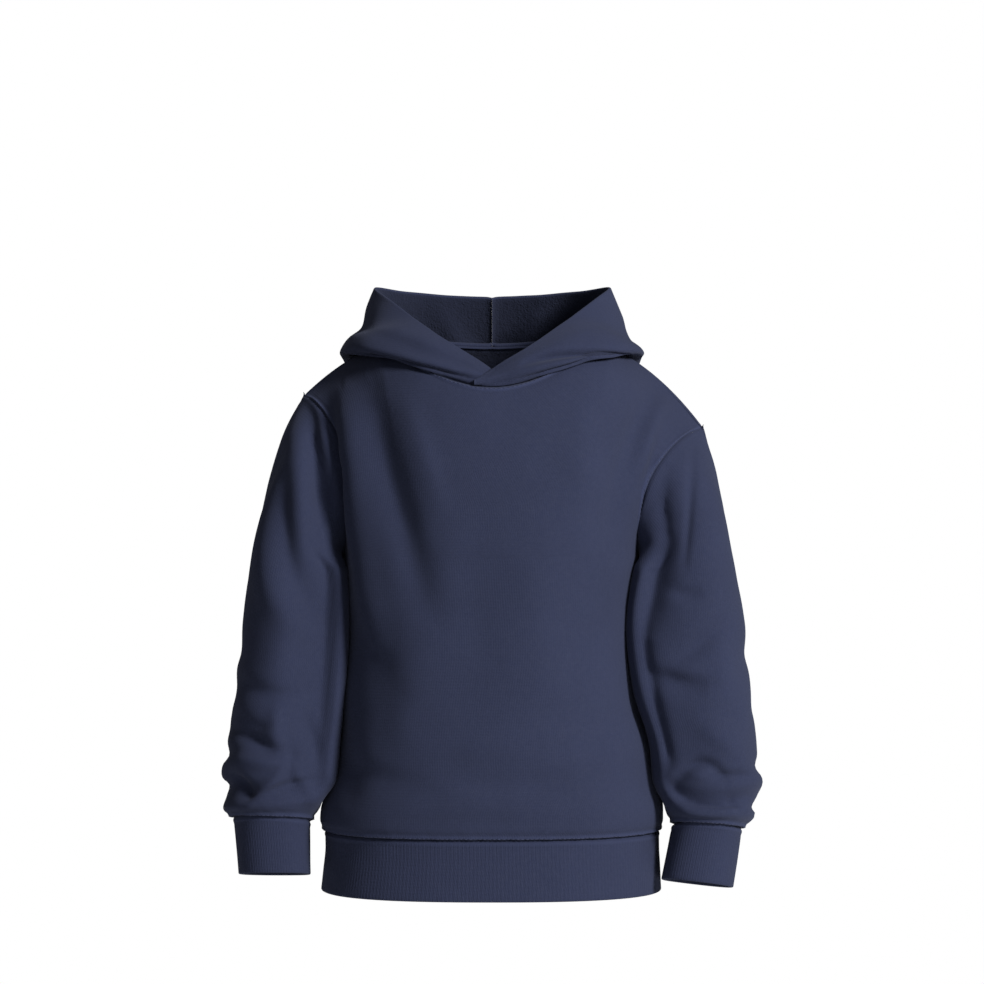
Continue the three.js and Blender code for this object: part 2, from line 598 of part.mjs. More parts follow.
for (const side of ["left", "right"]) {
  const name = "hood_" + side;
  const points = hoodPoints(side);
  const facing = -SIDES[side].sign;
  const beyond = (j, i) => {
    if (i >= 0 || j < 0 || j >= points.length) return undefined;
    return points[j][1].clone().setX(-points[j][1].x);
  };
  pressFolds(name, points, normalsOf(points, false, facing, beyond));
  const normals = normalsOf(points, false, facing, beyond);
  addPiece(name, wall(points, normals, HOOD_PLY, false), FLEECE_ROUGHNESS);
}

export default garment;
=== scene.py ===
"""Toddler hoodie of brushed fleece, in the hollow form that it has when worn.

The cloth follows the sizes of the solid model, in millimetres, on a finer grid. Folds, seam rolls,
puckers, ribs and stitches are added to it. Left and right are those of someone who faces it.
"""

import functools
import math

import bpy
import numpy as np
from bpy.props import FloatProperty, FloatVectorProperty, PointerProperty
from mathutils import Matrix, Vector, noise


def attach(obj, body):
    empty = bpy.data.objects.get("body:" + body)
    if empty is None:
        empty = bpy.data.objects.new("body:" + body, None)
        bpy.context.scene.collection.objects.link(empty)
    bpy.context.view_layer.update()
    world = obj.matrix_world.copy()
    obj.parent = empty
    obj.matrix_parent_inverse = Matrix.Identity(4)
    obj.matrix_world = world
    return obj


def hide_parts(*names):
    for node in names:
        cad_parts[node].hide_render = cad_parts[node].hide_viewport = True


bl_info = {
    "name": "Toddler hoodie",
    "version": (1, 0, 0),
    "blender": (4, 5, 0),
    "location": "View3D > Sidebar > Hoodie",
    "description": "Builds a toddler's fleece hoodie in its worn form",
    "category": "Object",
}

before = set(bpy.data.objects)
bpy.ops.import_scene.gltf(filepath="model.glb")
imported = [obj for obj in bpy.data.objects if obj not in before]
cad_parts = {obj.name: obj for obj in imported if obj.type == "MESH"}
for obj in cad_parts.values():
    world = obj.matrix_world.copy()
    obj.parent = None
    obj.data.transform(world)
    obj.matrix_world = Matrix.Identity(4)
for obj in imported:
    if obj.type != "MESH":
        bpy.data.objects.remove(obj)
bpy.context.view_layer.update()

MM = 0.001
QUARTER = math.pi / 2
HALVINGS = 40
TINY = 1e-6

# Thickness of each cloth. The pieces meet in their seams.
FLEECE = 1.9
RIB = 2.1
HOOD_PLY = 2.4
SEAM_GAP = 0.02

# Mesh: columns of half a panel, the neckline's share of them, rows above the underarm, and steps.
# Rows and columns lie closer together by a seam. The half width and rise are those of a panel.
HALF_COLUMNS = 65
NECK_SHARE = 5 / 13
UPPER_STEPS = 72
CLOTH_STEP = 2.8
SEAM_STEPS = (0, 0.6, 1.2, 1.8, 2.4, 3.1, 3.9, 5, 6.4, 8)
HALF_WIDTH, YOKE_RISE = 150, 150

UNDERARM_Z = -155
BODY_COLUMNS = ("z", "left", "right", "front", "back")
BODY = (
    (-345.5, 116.5, 116.6, 90, 82),
    (-341, 119.3, 118.8, 93.5, 85.5),
    (-333, 119.6, 119.4, 95.5, 87.5),
    (-312, 113, 117, 95, 87),
    (-285, 109.5, 114, 94.5, 84.5),
    (-248, 105.6, 102.5, 93, 82.5),
    (-205, 102.8, 96.8, 91, 83),
    (UNDERARM_Z, 103.2, 102, 90, 86),
)
BODY_ROUND = 2.5
BODY_EDGE_Z = BODY[2][0]
HEM = (
    (-386, 119, 118.2, 93, 84.5),
    (-372, 117.4, 117.4, 92, 83.5),
    (-358, 116, 116.6, 90.5, 82.3),
    (-345.5, 116.5, 116.6, 90, 82),
)

CROWN_Z, SHOULDER_Y, WIDENING = 6, 5, 1.7
NECK_HALF, NECK_Z, NECK_ROUND = 78, -5.6, 2.1
NECK_DEPTH = {"front": 71.5, "back": 45}
SIGN = {"left": -1, "right": 1, "front": -1, "back": 1}
TIP_X = {"left": 132.4, "right": 148.5}
TIP_Z = {"left": -42.4, "right": -65}
FACE_ROUND = {"front": 2.3, "back": 2.8}
ARMHOLE_INWARD = math.radians(31)
ARMHOLE_ROUND, ARMHOLE_LEAVE_DOWN, ARMHOLE_GAP, ARMHOLE_FADE = 0.6, 0.4, 0.03, 60

SLEEVE_COLUMNS = ("down", "outer_x", "outer_z", "clear", "inner_z", "y", "depth", "rise")
SLEEVES = {
    "left": (
        (0, 132.4, -42.4, 0, -155, 2, 43, 0),
        (15, 138.6, -56, 1.8, -158.5, -1, 44.5, 0),
        (32, 147, -72, 2.2, -163, -4, 46, 0.01),
        (54, 155, -95, 1.9, -169, -7, 46.5, 0.02),
        (82, 162.6, -125, 1.4, -178, -10, 46.5, 0.03),
        (118, 168.4, -160, 1, -194, -12, 46, 0.04),
        (152, 173, -194, 1, -214, -14, 45, 0.05),
        (186, 177.4, -228, 1, -238, -16, 44, 0.07),
        (218, 180.6, -260, 1, -264, -18, 43, 0.09),
        (247, 184.6, -288, 1, -289, -20, 42, 0.11),
        (265, 187.6, -306, 1, -306, -22, 41, 0.13),
        (282, 183.6, -321, 1, -320, -23, 38, 0.14),
        (292, 185.6, -330.5, 1.2, -329.5, -24, 39.5, 0.14),
        (299, 179.6, -335.5, 6, -338, -24.5, 32, 0.14),
    ),
    "right": (
        (0, 148.5, -65, 0, -155, 2, 43, 0),
        (13, 152, -77.5, 1.8, -158.5, -1, 44.5, 0),
        (29, 156.4, -93.5, 2.2, -163, -4, 46, 0.01),
        (50, 161, -115, 1.9, -169, -7, 46.5, 0.02),
        (76, 166.6, -141, 1.4, -178, -10, 46.5, 0.03),
        (104, 171.6, -169, 1, -192, -13, 46, 0.04),
        (134, 175.4, -199, 1, -210, -16, 45, 0.05),
        (168, 178.2, -232, 1, -234, -19, 44, 0.07),
        (200, 181.6, -264, 1, -261, -22, 43, 0.09),
        (231, 184, -294, 1, -288, -25, 42, 0.11),
        (249, 187.4, -311, 1, -306, -27, 41, 0.13),
        (263, 182.6, -324, 1, -320, -28, 38, 0.14),
        (275, 181.6, -334.5, 1.2, -331, -29, 39, 0.14),
        (284, 172.6, -343, 6, -339.5, -29.5, 32, 0.14),
    ),
}
ELLIPSE_ROUND = 2
SLEEVE_ROUND = 2.15
SLEEVE_FLAT = 2.7
SLEEVE_END_Z = -336
HUG_GAP, HUG_REACH = 0.5, 9

# Cuffs: middle, half widths and slope of the lower edge.
CUFF_COLUMNS = ("x", "y", "z", "half", "depth", "lean")
CUFFS = {
    "left": (150.4, -30, -373.6, 24.8, 27.5, 0),
    "right": (141.8, -35, -379.4, 24.6, 27.5, -0.12),
}
CUFF_RISE, CUFF_GAP, CUFF_NARROWING = 0.14, 0.02, 0.4
CUFF_RIBS, HEM_RIBS, RIB_POINTS = 84, 280, 6
RIB_RELIEF = 0.06
RIB_STEP = 2.4

HOOD_CORNERS = ("in", "under", "turn", "out", "rim")
HOOD_COLUMNS = ("angle", *[corner + axis for corner in HOOD_CORNERS for axis in ("_r", "_z")])
HOOD = (
    (-10, 68.6, -37, 69.2, -36.4, 69.4, -35.8, 69.3, -35, 69.1, -34.2),
    (0, 67.2, -36, 67.5, -34.3, 67, -32, 65.2, -29, 62.6, -26),
    (25, 72, -31.3, 73.4, -28, 72.8, -24, 68, -16.4, 59.5, -10),
    (50, 80, -22, 83.6, -19.6, 83.6, -14.5, 75, -3.4, 58, 3.4),
    (70, 84, -11, 94, -16.6, 97.6, -11.6, 87, 3, 63, 14.6),
    (93, 87, -5, 100.5, -14.4, 106.4, -12.4, 96.4, 4.5, 76, 27),
    (110, 88, -3, 104, -20, 112, -17, 102, 6, 89.5, 34.4),
    (135, 83, -8, 108, -66, 120, -64, 119.5, -16, 88, 33.4),
    (158, 74, -22, 102, -108, 119.5, -106, 127, -36, 82, 31.4),
    (180, 73, -25, 102.5, -122, 121, -119, 129, -42, 79, 30.4),
)
HOOD_BACK = 180
HOOD_STEPS = (16, 26, 14, 30, 28)
HOOD_GAP = 0.1
HOOD_ANGLE_STEP = 1.2
UNDERLAP = {"from": 42, "full": 16, "deeper": 14, "deepest": -4, "space": 0.4}

# Viewing distance and the height of the view's axis, for folds placed as the front view shows them.
# A fold of the front or the back view ends this far beyond the shoulder line.
VIEW_DISTANCE = 2500
VIEW_Z = -110
VIEW_REACH = 40

# Folds of a piece in a view of one side: two places across and up, with a third between them that
# bends the line; the reach to the right or upper side, the reach to the left or lower one, and the
# depth of a trough. A ridge has a depth below zero.
FOLDS = {
    # Both pieces that meet at an armhole.
    ("armhole", "front"): (
        (-112, -54, -106, -100, -104, -150, 7, 8, 6.5),
        (116, -82, 106, -104, 102, -146, 7, 7, 2.4),
    ),
    # The soft ridge and trough by the left armhole, folds by the right one and the low drapes.
    ("front", "front"): (
        (-103, -42, -98, -112, -84, -214, 11, 7, -7.0),
        (-84, -42, -76, -100, -46, -190, 13, 11, 7.5),
        (-58, -48, -46, -86, -36, -120, 7, 9, -1.6),
        (113, -38, 88, -84, 84, -148, 9, 8, 4.6),
        (121, -45, 108, -66, 104, -100, 5, 5, -3.8),
        (66, -46, 60, -96, 66, -160, 12, 13, -2.2),
        (118, -74, 112, -90, 106, -106, 3, 4, 1.8),
        (-112, -262, -100, -296, -102, -326, 9, 7, 2.4),
        (-74, -352, -14, -336, 20, -344, 12, 16, 2.6),
        (26, -262, 60, -272, 100, -266, 15, 14, 2.0),
        (-104, -190, -86, -226, -58, -262, 14, 18, 2.8),
        (104, -196, 110, -250, 112, -318, 8, 13, 3.2),
        (96, -262, 78, -280, 46, -296, 10, 14, 2.2),
        (46, -284, 6, -294, -44, -288, 9, 11, -1.5),
        (66, -308, 20, -319, -30, -313, 8, 8, 1.5),
        (-114, -296, -86, -312, -48, -314, 8, 9, 2.2),
        (34, -100, 26, -170, 38, -240, 24, 24, -2.0),
        (-18, -130, -12, -200, -26, -270, 22, 22, 1.8),
        (-60, -206, -66, -260, -52, -306, 14, 14, -1.4),
        (60, -190, 52, -226, 62, -262, 15, 15, 1.4),
    ),
    # Left sleeve: the recess beside the body, the elbow and the bunched end.
    ("sleeve_left", "front"): (
        (-127.5, -48, -125, -86, -110, -136, 5, 6.5, 6.0),
        (-120.5, -60, -116, -84, -108, -120, 4, 4, -2.6),
        (-136, -52, -138, -112, -132, -172, 8, 9, -3.6),
        (-145, -88, -154, -142, -124, -198, 10, 10, 6.0),
        (-159, -110, -170, -188, -130, -208, 9, 10, -3.4),
        (-108, -140, -113, -220, -118, -322, 24, 21, 11.0),
        (-122, -80, -111, -126, -106, -178, 5, 11, 6.0),
        (-146, -196, -148, -222, -156, -248, 12, 12, -2.4),
        (-180, -240, -158, -258, -132, -250, 6, 8, 3.2),
        (-186, -274, -166, -284, -150, -292, 4.5, 5.5, 5.5),
        (-180, -297, -158, -301, -140, -299, 4.5, 4.5, -3.6),
        (-188, -306, -176, -313, -166, -324, 4.5, 5, 5.5),
        (-164, -318, -152, -311, -140, -316, 6, 6, -3.0),
        (-170, -329, -156, -314, -141, -300, 3.6, 4, -3.0),
        (-140, -300, -132, -314, -121, -329, 4, 4, -3.4),
        (-153, -317, -141, -315, -126, -313, 3, 3.6, 4.0),
        (-138, -290, -140, -298, -143, -306, 3.5, 3.5, 3.0),
        (-150, -260, -153, -275, -150, -290, 6, 6, -2.8),
        (-180, -266, -167, -277, -158, -274, 4.5, 5, 3.0),
        (-130, -266, -124, -280, -118, -300, 4, 6, 3.0),
    ),
    ("sleeve_left", "left"): (
        (24, -286, -8, -297, -46, -289, 5, 6, 4.4),
        (20, -309, -16, -318, -50, -311, 4, 4, 3.8),
        (22, -186, 0, -214, -36, -224, 10, 12, 3.2),
        (26, -214, 4, -240, -30, -252, 8, 9, 2.6),
        (-30, -66, -10, -120, -18, -176, 12, 12, 2.6),
        (14, -60, 20, -110, 10, -160, 10, 10, 2.0),
    ),
    ("sleeve_left", "back"): (
        (-178, -196, -150, -211, -120, -214, 7, 9, 4.6),
        (-178, -222, -152, -229, -124, -242, 6, 8, 3.4),
        (-176, -250, -150, -262, -128, -258, 8, 8, 2.4),
        (-186, -288, -154, -299, -124, -300, 5, 6, 4.6),
        (-182, -311, -152, -318, -128, -316, 4, 4, 3.8),
        (-132, -58, -134, -110, -120, -156, 8, 8, 3.6),
    ),
    # Right sleeve, the same.
    ("sleeve_right", "front"): (
        (141, -78, 140, -116, 135, -162, 2.6, 3.4, 2.2),
        (122, -96, 119, -128, 113, -160, 6, 7, 3.0),
        (118, -134, 110, -178, 100, -210, 13, 20, 10.0),
        (150, -92, 157, -140, 159, -194, 12, 12, -2.4),
        (99, -196, 107, -250, 120, -300, 7, 22, 6.5),
        (124, -178, 136, -184, 148, -180, 5, 5, 2.6),
        (166, -198, 148, -218, 125, -229, 7, 8, 4.2),
        (110, -236, 130, -246, 152, -245, 6, 9, 5.5),
        (164, -206, 160, -232, 168, -260, 10, 10, -2.2),
        (110, -268, 115, -284, 122, -298, 5, 6, 5.0),
        (146, -273, 165, -286, 183, -303, 7, 7, -3.0),
        (124, -318, 146, -286, 164, -311, 4, 4.5, 5.0),
        (133, -305, 142, -307, 151, -309, 4, 4, -2.0),
        (150, -311, 168, -308, 186, -309, 3.5, 4.5, 4.2),
        (112, -312, 146, -340, 184, -323, 7, 2.6, 6.5),
        (128, -332, 148, -336, 170, -335, 3, 4, -2.2),
        (166, -324, 174, -330, 178, -335, 3, 3, 2.6),
        (158, -270, 168, -280, 182, -284, 5, 6, -1.8),
    ),
    ("sleeve_right", "right"): (
        (-54, -296, -16, -305, 20, -291, 5, 6, 4.4),
        (-58, -325, -20, -332, 16, -321, 4, 4, 4.0),
        (-42, -230, -6, -214, 22, -192, 10, 12, 3.2),
        (-36, -262, -4, -246, 24, -222, 8, 9, 2.6),
        (-12, -86, -24, -140, -12, -190, 12, 12, 2.4),
        (20, -80, 14, -130, 22, -170, 10, 10, 2.0),
    ),
    ("sleeve_right", "back"): (
        (178, -192, 148, -208, 116, -210, 7, 9, 4.6),
        (180, -225, 152, -230, 122, -246, 6, 8, 3.4),
        (178, -256, 152, -268, 130, -262, 8, 8, 2.4),
        (186, -294, 152, -305, 122, -306, 5, 6, 4.6),
        (180, -319, 150, -326, 126, -322, 4, 4, 3.8),
        (144, -80, 136, -120, 118, -158, 8, 8, 3.4),
    ),
    # Drapes from the shoulders, folds towards the armholes and small ones over the hem.
    ("back", "back"): (
        (-88, -130, -78, -185, -70, -245, 14, 18, 4.0),
        (90, -125, 74, -185, 60, -250, 18, 14, 4.0),
        (-30, -140, -22, -210, -36, -280, 20, 20, 2.4),
        (28, -140, 36, -220, 24, -296, 20, 20, -2.4),
        (-110, -296, -70, -306, -26, -320, 11, 14, 3.8),
        (108, -290, 72, -310, 30, -312, 10, 12, 3.2),
        (-60, -324, -20, -333, 26, -328, 7, 8, 1.8),
        (96, -250, 60, -270, 14, -276, 12, 12, 2.0),
        (-114, -60, -103, -104, -92, -146, 7, 8, 4.0),
        (124, -76, 109, -112, 96, -150, 8, 7, 4.0),
        (-60, -128, 0, -140, 60, -130, 10, 12, 1.6),
    ),
    # Creases that run from the overlap round the roll, and soft ones at the sides and behind.
    ("hood_right", "front"): (
        (24, -18.4, 55, -5.4, 106, -19, 2.4, 3.8, 5.4),
        (-4, -36.4, 42, -29.4, 77, -14, 2.2, 3.4, 4.6),
        (14, -27, 44, -20, 72, -15, 3, 3, -1.6),
    ),
    ("hood_right", "right"): (
        (-34, 10, 0, 7, 36, 5, 6, 7, 2.6),
        (-32, 2, 6, 0, 42, -4, 6, 8, 3.6),
        (62, -14, 100, -52, 112, -84, 12, 12, 3.6),
    ),
    ("hood_left", "front"): (
        (-6, -33.4, -45.5, -26.2, -99, -12.6, 2.2, 3.6, 4.8),
        (-12, -30, -46, -20, -88, -10, 5, 4, -2.0),
        (-16, -22, -50, -8, -92, 4, 6, 5, 1.8),
    ),
    ("hood_left", "left"): (
        (42, 12, 4, 4, -36, 8, 6, 8, 4.0),
        (-60, -16, -100, -50, -112, -80, 12, 12, 3.6),
    ),
    ("hood_left", "back"): (
        (-94, 8, -70, -24, -40, -48, 10, 12, 5.5),
        (-66, -28, -40, -64, -14, -80, 8, 10, 3.8),
        (-38, 22, -26, -4, -8, -18, 8, 9, 2.8),
    ),
    ("hood_right", "back"): (
        (94, 4, 70, -26, 42, -56, 12, 10, 5.5),
        (72, -38, 48, -76, 16, -94, 10, 8, 3.8),
        (36, 24, 26, 0, 8, -12, 9, 8, 2.8),
    ),
}
FOLD_PARTS = 14
FOLD_END, FOLD_FADE, FOLD_FACING = 0.06, 0.8, 0.3

# Slow unevenness of the cloth: wave length and height.
UNEVEN = ((46, 0.9), (19, 0.35))

# Distance of a seam's roll and its stitches from the seam, and the form of a stitch: places along its
# half length, thickness and depth there as shares of the thread.
SEAM_ROLL = 2.4
STITCH_SIDES = 6
STITCH_FORM = ((-1, 0.5, 0.5), (-0.7, 0.95, 0.1), (0, 1, 0), (0.7, 0.95, 0.1), (1, 0.5, 0.5))
SEAM_WIDTH = 1.3
GROOVE_DEPTH, GROOVE_AWAY, GROOVE_WIDTH = 0.3, 2.6, 1.2
PUCKER, PUCKER_REACH = 0.12, 9
# A seam further off than this doesn't show.
FAR = 100

# Knit of each cloth: scales of the wales and rows, relief in metres, weights of wales, rows, nap and
# fuzz, sheen, and the gain of the painted highlight on a seam's roll.
KNIT = {
    "face": (190, 150, 0.00022, (0.35, 0.2, 0.45, 0.35), 0.08, 1.45),
    "rib": (260, 150, 0.0002, (0.6, 0.2, 0.3, 0.2), 0.06, 1.2),
    "nap": (120, 90, 0.0005, (0.1, 0.1, 0.9, 0.9), 0.12, 1),
}
# Painted shade: the inside of every cloth is this much darker than its outside, for the shade in the hood's
# hollow and inside the garment. Its nap relief is the cloth's own.
INSIDE_SHADE_TONE = 0.7

# Stage, in metres: floor, the lamps' places, sizes and powers, where they point, and the sky's light.
FLOOR_RADIUS, FLOOR_Z = 1.25, -0.72
LAMPS = {
    "key": ((1.75, -1.85, 0.9), 0.75, 86),
    "fill": ((-0.2, -2.8, 0.1), 1.4, 5),
    "top": ((0.6, -0.6, 1.9), 1.2, 3),
}
LAMP_AIM = (0, 0, -0.18)
SKY_LIGHT = 0.09
VIEW_HALF_WIDTH = 344.4


def table(names, rows):
    return {name: np.array([row[i] for row in rows], float) for i, name in enumerate(names)}


def smooth(knots, values, at):
    """Values at places between knots, on a smooth curve through them."""
    at = np.asarray(at, float)
    low = np.clip(np.searchsorted(knots, at) - 1, 0, len(knots) - 2)
    spans = np.diff(knots)
    rates = np.diff(values) / spans
    slopes = np.empty(len(knots))
    slopes[0], slopes[-1] = rates[0], rates[-1]
    slopes[1:-1] = (rates[:-1] * spans[1:] + rates[1:] * spans[:-1]) / (spans[:-1] + spans[1:])
    span = spans[low]
    s = (at - knots[low]) / span
    lead = (1 + 2 * s) * (1 - s) ** 2 * values[low] + s * s * (3 - 2 * s) * values[low + 1]
    return lead + span * (s * (1 - s) ** 2 * slopes[low] - s * s * (1 - s) * slopes[low + 1])


def row_at(columns, key, at):
    """All columns of a table at places between its rows."""
    return {name: smooth(columns[key], values, at) for name, values in columns.items()}


def stations(knots, step):
    """Every knot, with more places between knots that lie further apart than the step."""
    places = []
    for start, end in zip(knots[:-1], knots[1:]):
        parts = max(math.ceil((end - start) / step), 1)
        places.extend(start + (end - start) * part / parts for part in range(parts))
    return np.array([*places, knots[-1]])


def by_seams(places, low=True, high=True):
    """Places, closer together near the ends that are seams."""
    steps = np.array(SEAM_STEPS)
    if low:
        places = np.concatenate([places[0] + steps, places[places > places[0] + steps[-1] + 1]])
    if high:
        places = np.concatenate([places[places < places[-1] - steps[-1] - 1], places[-1] - steps[::-1]])
    return places


def solve(low, high, value):
    """Places where a rising or falling function passes through zero."""
    low, high = np.asarray(low, float), np.asarray(high, float)
    rising = value(high) > 0
    for _ in range(HALVINGS):
        middle = (low + high) / 2
        past = (value(middle) > 0) == rising
        high = np.where(past, middle, high)
        low = np.where(past, low, middle)
    return (low + high) / 2


def oval(angle, power):
    """Points of an oval of half size 1, by their angle from the second axis."""
    sine, cosine = np.abs(np.sin(angle)), np.abs(np.cos(angle))
    reach = (sine**power + cosine**power) ** (-1 / power)
    return sine * reach, cosine * reach


def points(x, y, z):
    return np.stack(np.broadcast_arrays(x, y, z), axis=-1).astype(float)


def unit(vectors):
    return vectors / np.maximum(np.linalg.norm(vectors, axis=-1, keepdims=True), TINY)


def ramp(low, high, value):
    """Rises smoothly from 0 at low to 1 at high."""
    s = np.clip((value - low) / (high - low), 0, 1)
    return s * s * (3 - 2 * s)


def pick(u, sizes):
    return np.where(u < 0, sizes["left"], sizes["right"])


NECK_ANGLE = {
    side: float(solve(0, QUARTER, lambda a, x=x: x * oval(a, BODY_ROUND)[0] - NECK_HALF))
    for side, x in TIP_X.items()
}
SHOULDER_POWER = {
    side: math.log((CROWN_Z - TIP_Z[side]) / (CROWN_Z - NECK_Z)) / math.log(TIP_X[side] / NECK_HALF)
    for side in TIP_X
}


def column_angle(u, height):
    """Angle round the body of a panel's column: even below the underarm, neckline-spaced on top."""
    share = np.abs(u)
    neck = pick(u, NECK_ANGLE)
    even = QUARTER * share
    inside = neck * np.sin(QUARTER * share / NECK_SHARE)
    beyond = neck + (QUARTER - neck) * (share - NECK_SHARE) / (1 - NECK_SHARE)
    top = np.where(share > NECK_SHARE, beyond, inside)
    return even + (top - even) * height**2


def ring_points(rows, face, u, z):
    """Points of a ring of the body or the hem, on its front or back half."""
    size = row_at(table(BODY_COLUMNS, rows), "z", z)
    across, out = oval(column_angle(u, 0), BODY_ROUND)
    return points(np.sign(u) * pick(u, size) * across, SIGN[face] * size[face] * out, z)


def yoke_points(face, u, rise, height):
    """Points above the underarm, by the angle that they have risen over the shoulder."""
    under = dict(zip(BODY_COLUMNS, BODY[-1]))
    over_across, over_out = oval(rise, FACE_ROUND[face])
    whole = column_angle(u, height)
    cut = ARMHOLE_INWARD * np.maximum(np.sin(2 * rise), 0) ** ARMHOLE_ROUND
    aside = np.maximum(np.abs(u) - NECK_SHARE, 0) / (1 - NECK_SHARE)
    across, out = oval(whole - cut * aside, BODY_ROUND)
    tip = pick(u, TIP_X)
    widen = over_across**WIDENING
    half = pick(u, under) * (1 - widen) + tip * widen
    depth = SIGN[face] * under[face] * out
    reach = tip * oval(whole, BODY_ROUND)[0]
    top = CROWN_Z - (CROWN_Z - NECK_Z) * (reach / NECK_HALF) ** pick(u, SHOULDER_POWER)
    return points(
        np.sign(u) * half * across,
        SHOULDER_Y + (depth - SHOULDER_Y) * over_out,
        UNDERARM_Z + (top - UNDERARM_Z) * over_across,
    )


def top_angle(face, u):
    """How far a panel's column rises: to the shoulder seam, or to the neckline."""
    within = np.clip(u, -NECK_SHARE, NECK_SHARE)

    def outside(rise):
        p = yoke_points(face, within, rise, 1)
        across = np.abs(p[..., 0] / NECK_HALF) ** NECK_ROUND
        return across + np.abs((p[..., 1] - SHOULDER_Y) / NECK_DEPTH[face]) ** NECK_ROUND - 1

    found = solve(np.zeros_like(within), np.full_like(within, QUARTER), outside)
    return np.where(np.abs(u) > NECK_SHARE - TINY, QUARTER, found)


LOWER_Z = by_seams(stations([row[0] for row in BODY], CLOTH_STEP), high=False)
UNDERARM_ROW = len(LOWER_Z) - 1
HALF_U = by_seams(np.linspace(0, HALF_WIDTH, HALF_COLUMNS + 1), low=False) / HALF_WIDTH
PANEL_U = np.concatenate([-HALF_U[:0:-1], HALF_U])
HEIGHTS = by_seams(np.linspace(0, YOKE_RISE, UPPER_STEPS + 1), low=False)[1:] / YOKE_RISE
UPPER_ROWS = len(HEIGHTS)


def normals_of(grid, facing, ring=False, sides=(None, None), ends=(None, None)):
    """Outward directions of a grid. Where cloth goes on past an edge, sides and ends hold it."""
    own = grid[:, :1], grid[:, -1:]
    if ring:
        left, right = grid[:, -1:], grid[:, :1]
    else:
        left, right = (mine if given is None else given[:, None] for mine, given in zip(own, sides))
    wide = np.concatenate([left, grid, right], axis=1)
    below = grid[:1] if ends[0] is None else ends[0][None]
    above = grid[-1:] if ends[1] is None else ends[1][None]
    tall = np.concatenate([below, grid, above], axis=0)
    return facing * unit(np.cross(wide[:, 2:] - wide[:, :-2], tall[2:] - tall[:-2]))


@functools.cache
def panel_grids():
    """Points and outward directions of the front and the back panel."""
    grids, directions = {}, {}
    heights = HEIGHTS[:, None]
    for face in ("front", "back"):
        lower = ring_points(BODY, face, PANEL_U[None, :], LOWER_Z[:, None])
        rise = heights * top_angle(face, PANEL_U)[None, :]
        upper = yoke_points(face, PANEL_U[None, :], rise, heights)
        grids[face] = np.concatenate([lower, upper])
        grids[face][..., 1] += SIGN[face] * SEAM_GAP / 2
    beyond_neck = np.abs(PANEL_U) > NECK_SHARE - TINY
    facing = normals_of(grids["front"], -SIGN["front"])
    grids["front"] -= facing * fold_depth("armhole", grids["front"], facing)[..., None]
    for face, other in (("front", "back"), ("back", "front")):
        own, next_to = grids[face], grids[other]
        sides = [own[:, 0].copy(), own[:, -1].copy()]
        joined = slice(0, UNDERARM_ROW + 1)
        sides[0][joined] = next_to[joined, 1]
        sides[1][joined] = next_to[joined, -2]
        above = np.where(beyond_neck[:, None], next_to[-2], own[-1])
        directions[face] = normals_of(own, -SIGN[face], sides=sides, ends=(None, above))
    return grids, directions


def armhole_loop(side, grids):
    """The armhole's points, from the shoulder tip down the front edge and up the back edge."""
    column = 0 if side == "left" else -1
    down = grids["front"][UNDERARM_ROW + 1 :, column][::-1]
    return np.concatenate([down, grids["back"][UNDERARM_ROW:-1, column]])


def sleeve_sections(side, row):
    """Sections of a sleeve: middles, and reaches outwards and forwards."""
    sign = SIGN[side]
    beside = np.maximum(row["inner_z"], BODY_EDGE_Z)
    body = row_at(table(BODY_COLUMNS, BODY), "z", beside)[side]
    outer = points(sign * row["outer_x"], row["y"], row["outer_z"])
    inner = points(sign * (body + row["clear"]), row["y"], row["inner_z"])
    forwards = points(0 * row["depth"], -row["depth"], row["depth"] * row["rise"])
    return (outer + inner) / 2, (outer - inner) / 2, forwards


def section_points(section, angles, power):
    """The side of a section towards the body lies flatter against it."""
    middle, outwards, forwards = (part[..., None, :] for part in section)
    inner = np.maximum(-np.cos(angles), 0)
    power = power + (SLEEVE_FLAT - power) * inner * (power > ELLIPSE_ROUND)
    across, out = oval(angles, power)
    along = (out * np.sign(np.cos(angles)))[..., None] * outwards
    return middle + along + (across * np.sign(np.sin(angles)))[..., None] * forwards


@functools.cache
def sleeve_grid(side):
    columns = table(SLEEVE_COLUMNS, SLEEVES[side])
    loop = armhole_loop(side, panel_grids()[0])
    first = sleeve_sections(side, {name: values[:1] for name, values in columns.items()})
    away = loop - first[0]
    angles = np.arctan2(
        (away * first[2]).sum(axis=-1) / (first[2] ** 2).sum(),
        (away * first[1]).sum(axis=-1) / (first[1] ** 2).sum(),
    )
    leave = ARMHOLE_GAP * unit(np.array([SIGN[side], 0, -ARMHOLE_LEAVE_DOWN]))
    down = by_seams(stations(columns["down"], CLOTH_STEP))
    held = (np.maximum(1 - down / ARMHOLE_FADE, 0) ** 2)[:, None]
    power = SLEEVE_ROUND + (ELLIPSE_ROUND - SLEEVE_ROUND) * held
    rest = section_points(sleeve_sections(side, row_at(columns, "down", down)), angles, power)
    start = section_points(first, angles, np.array([[ELLIPSE_ROUND]]))
    return rest + held[..., None] * (loop - start[0] + leave)


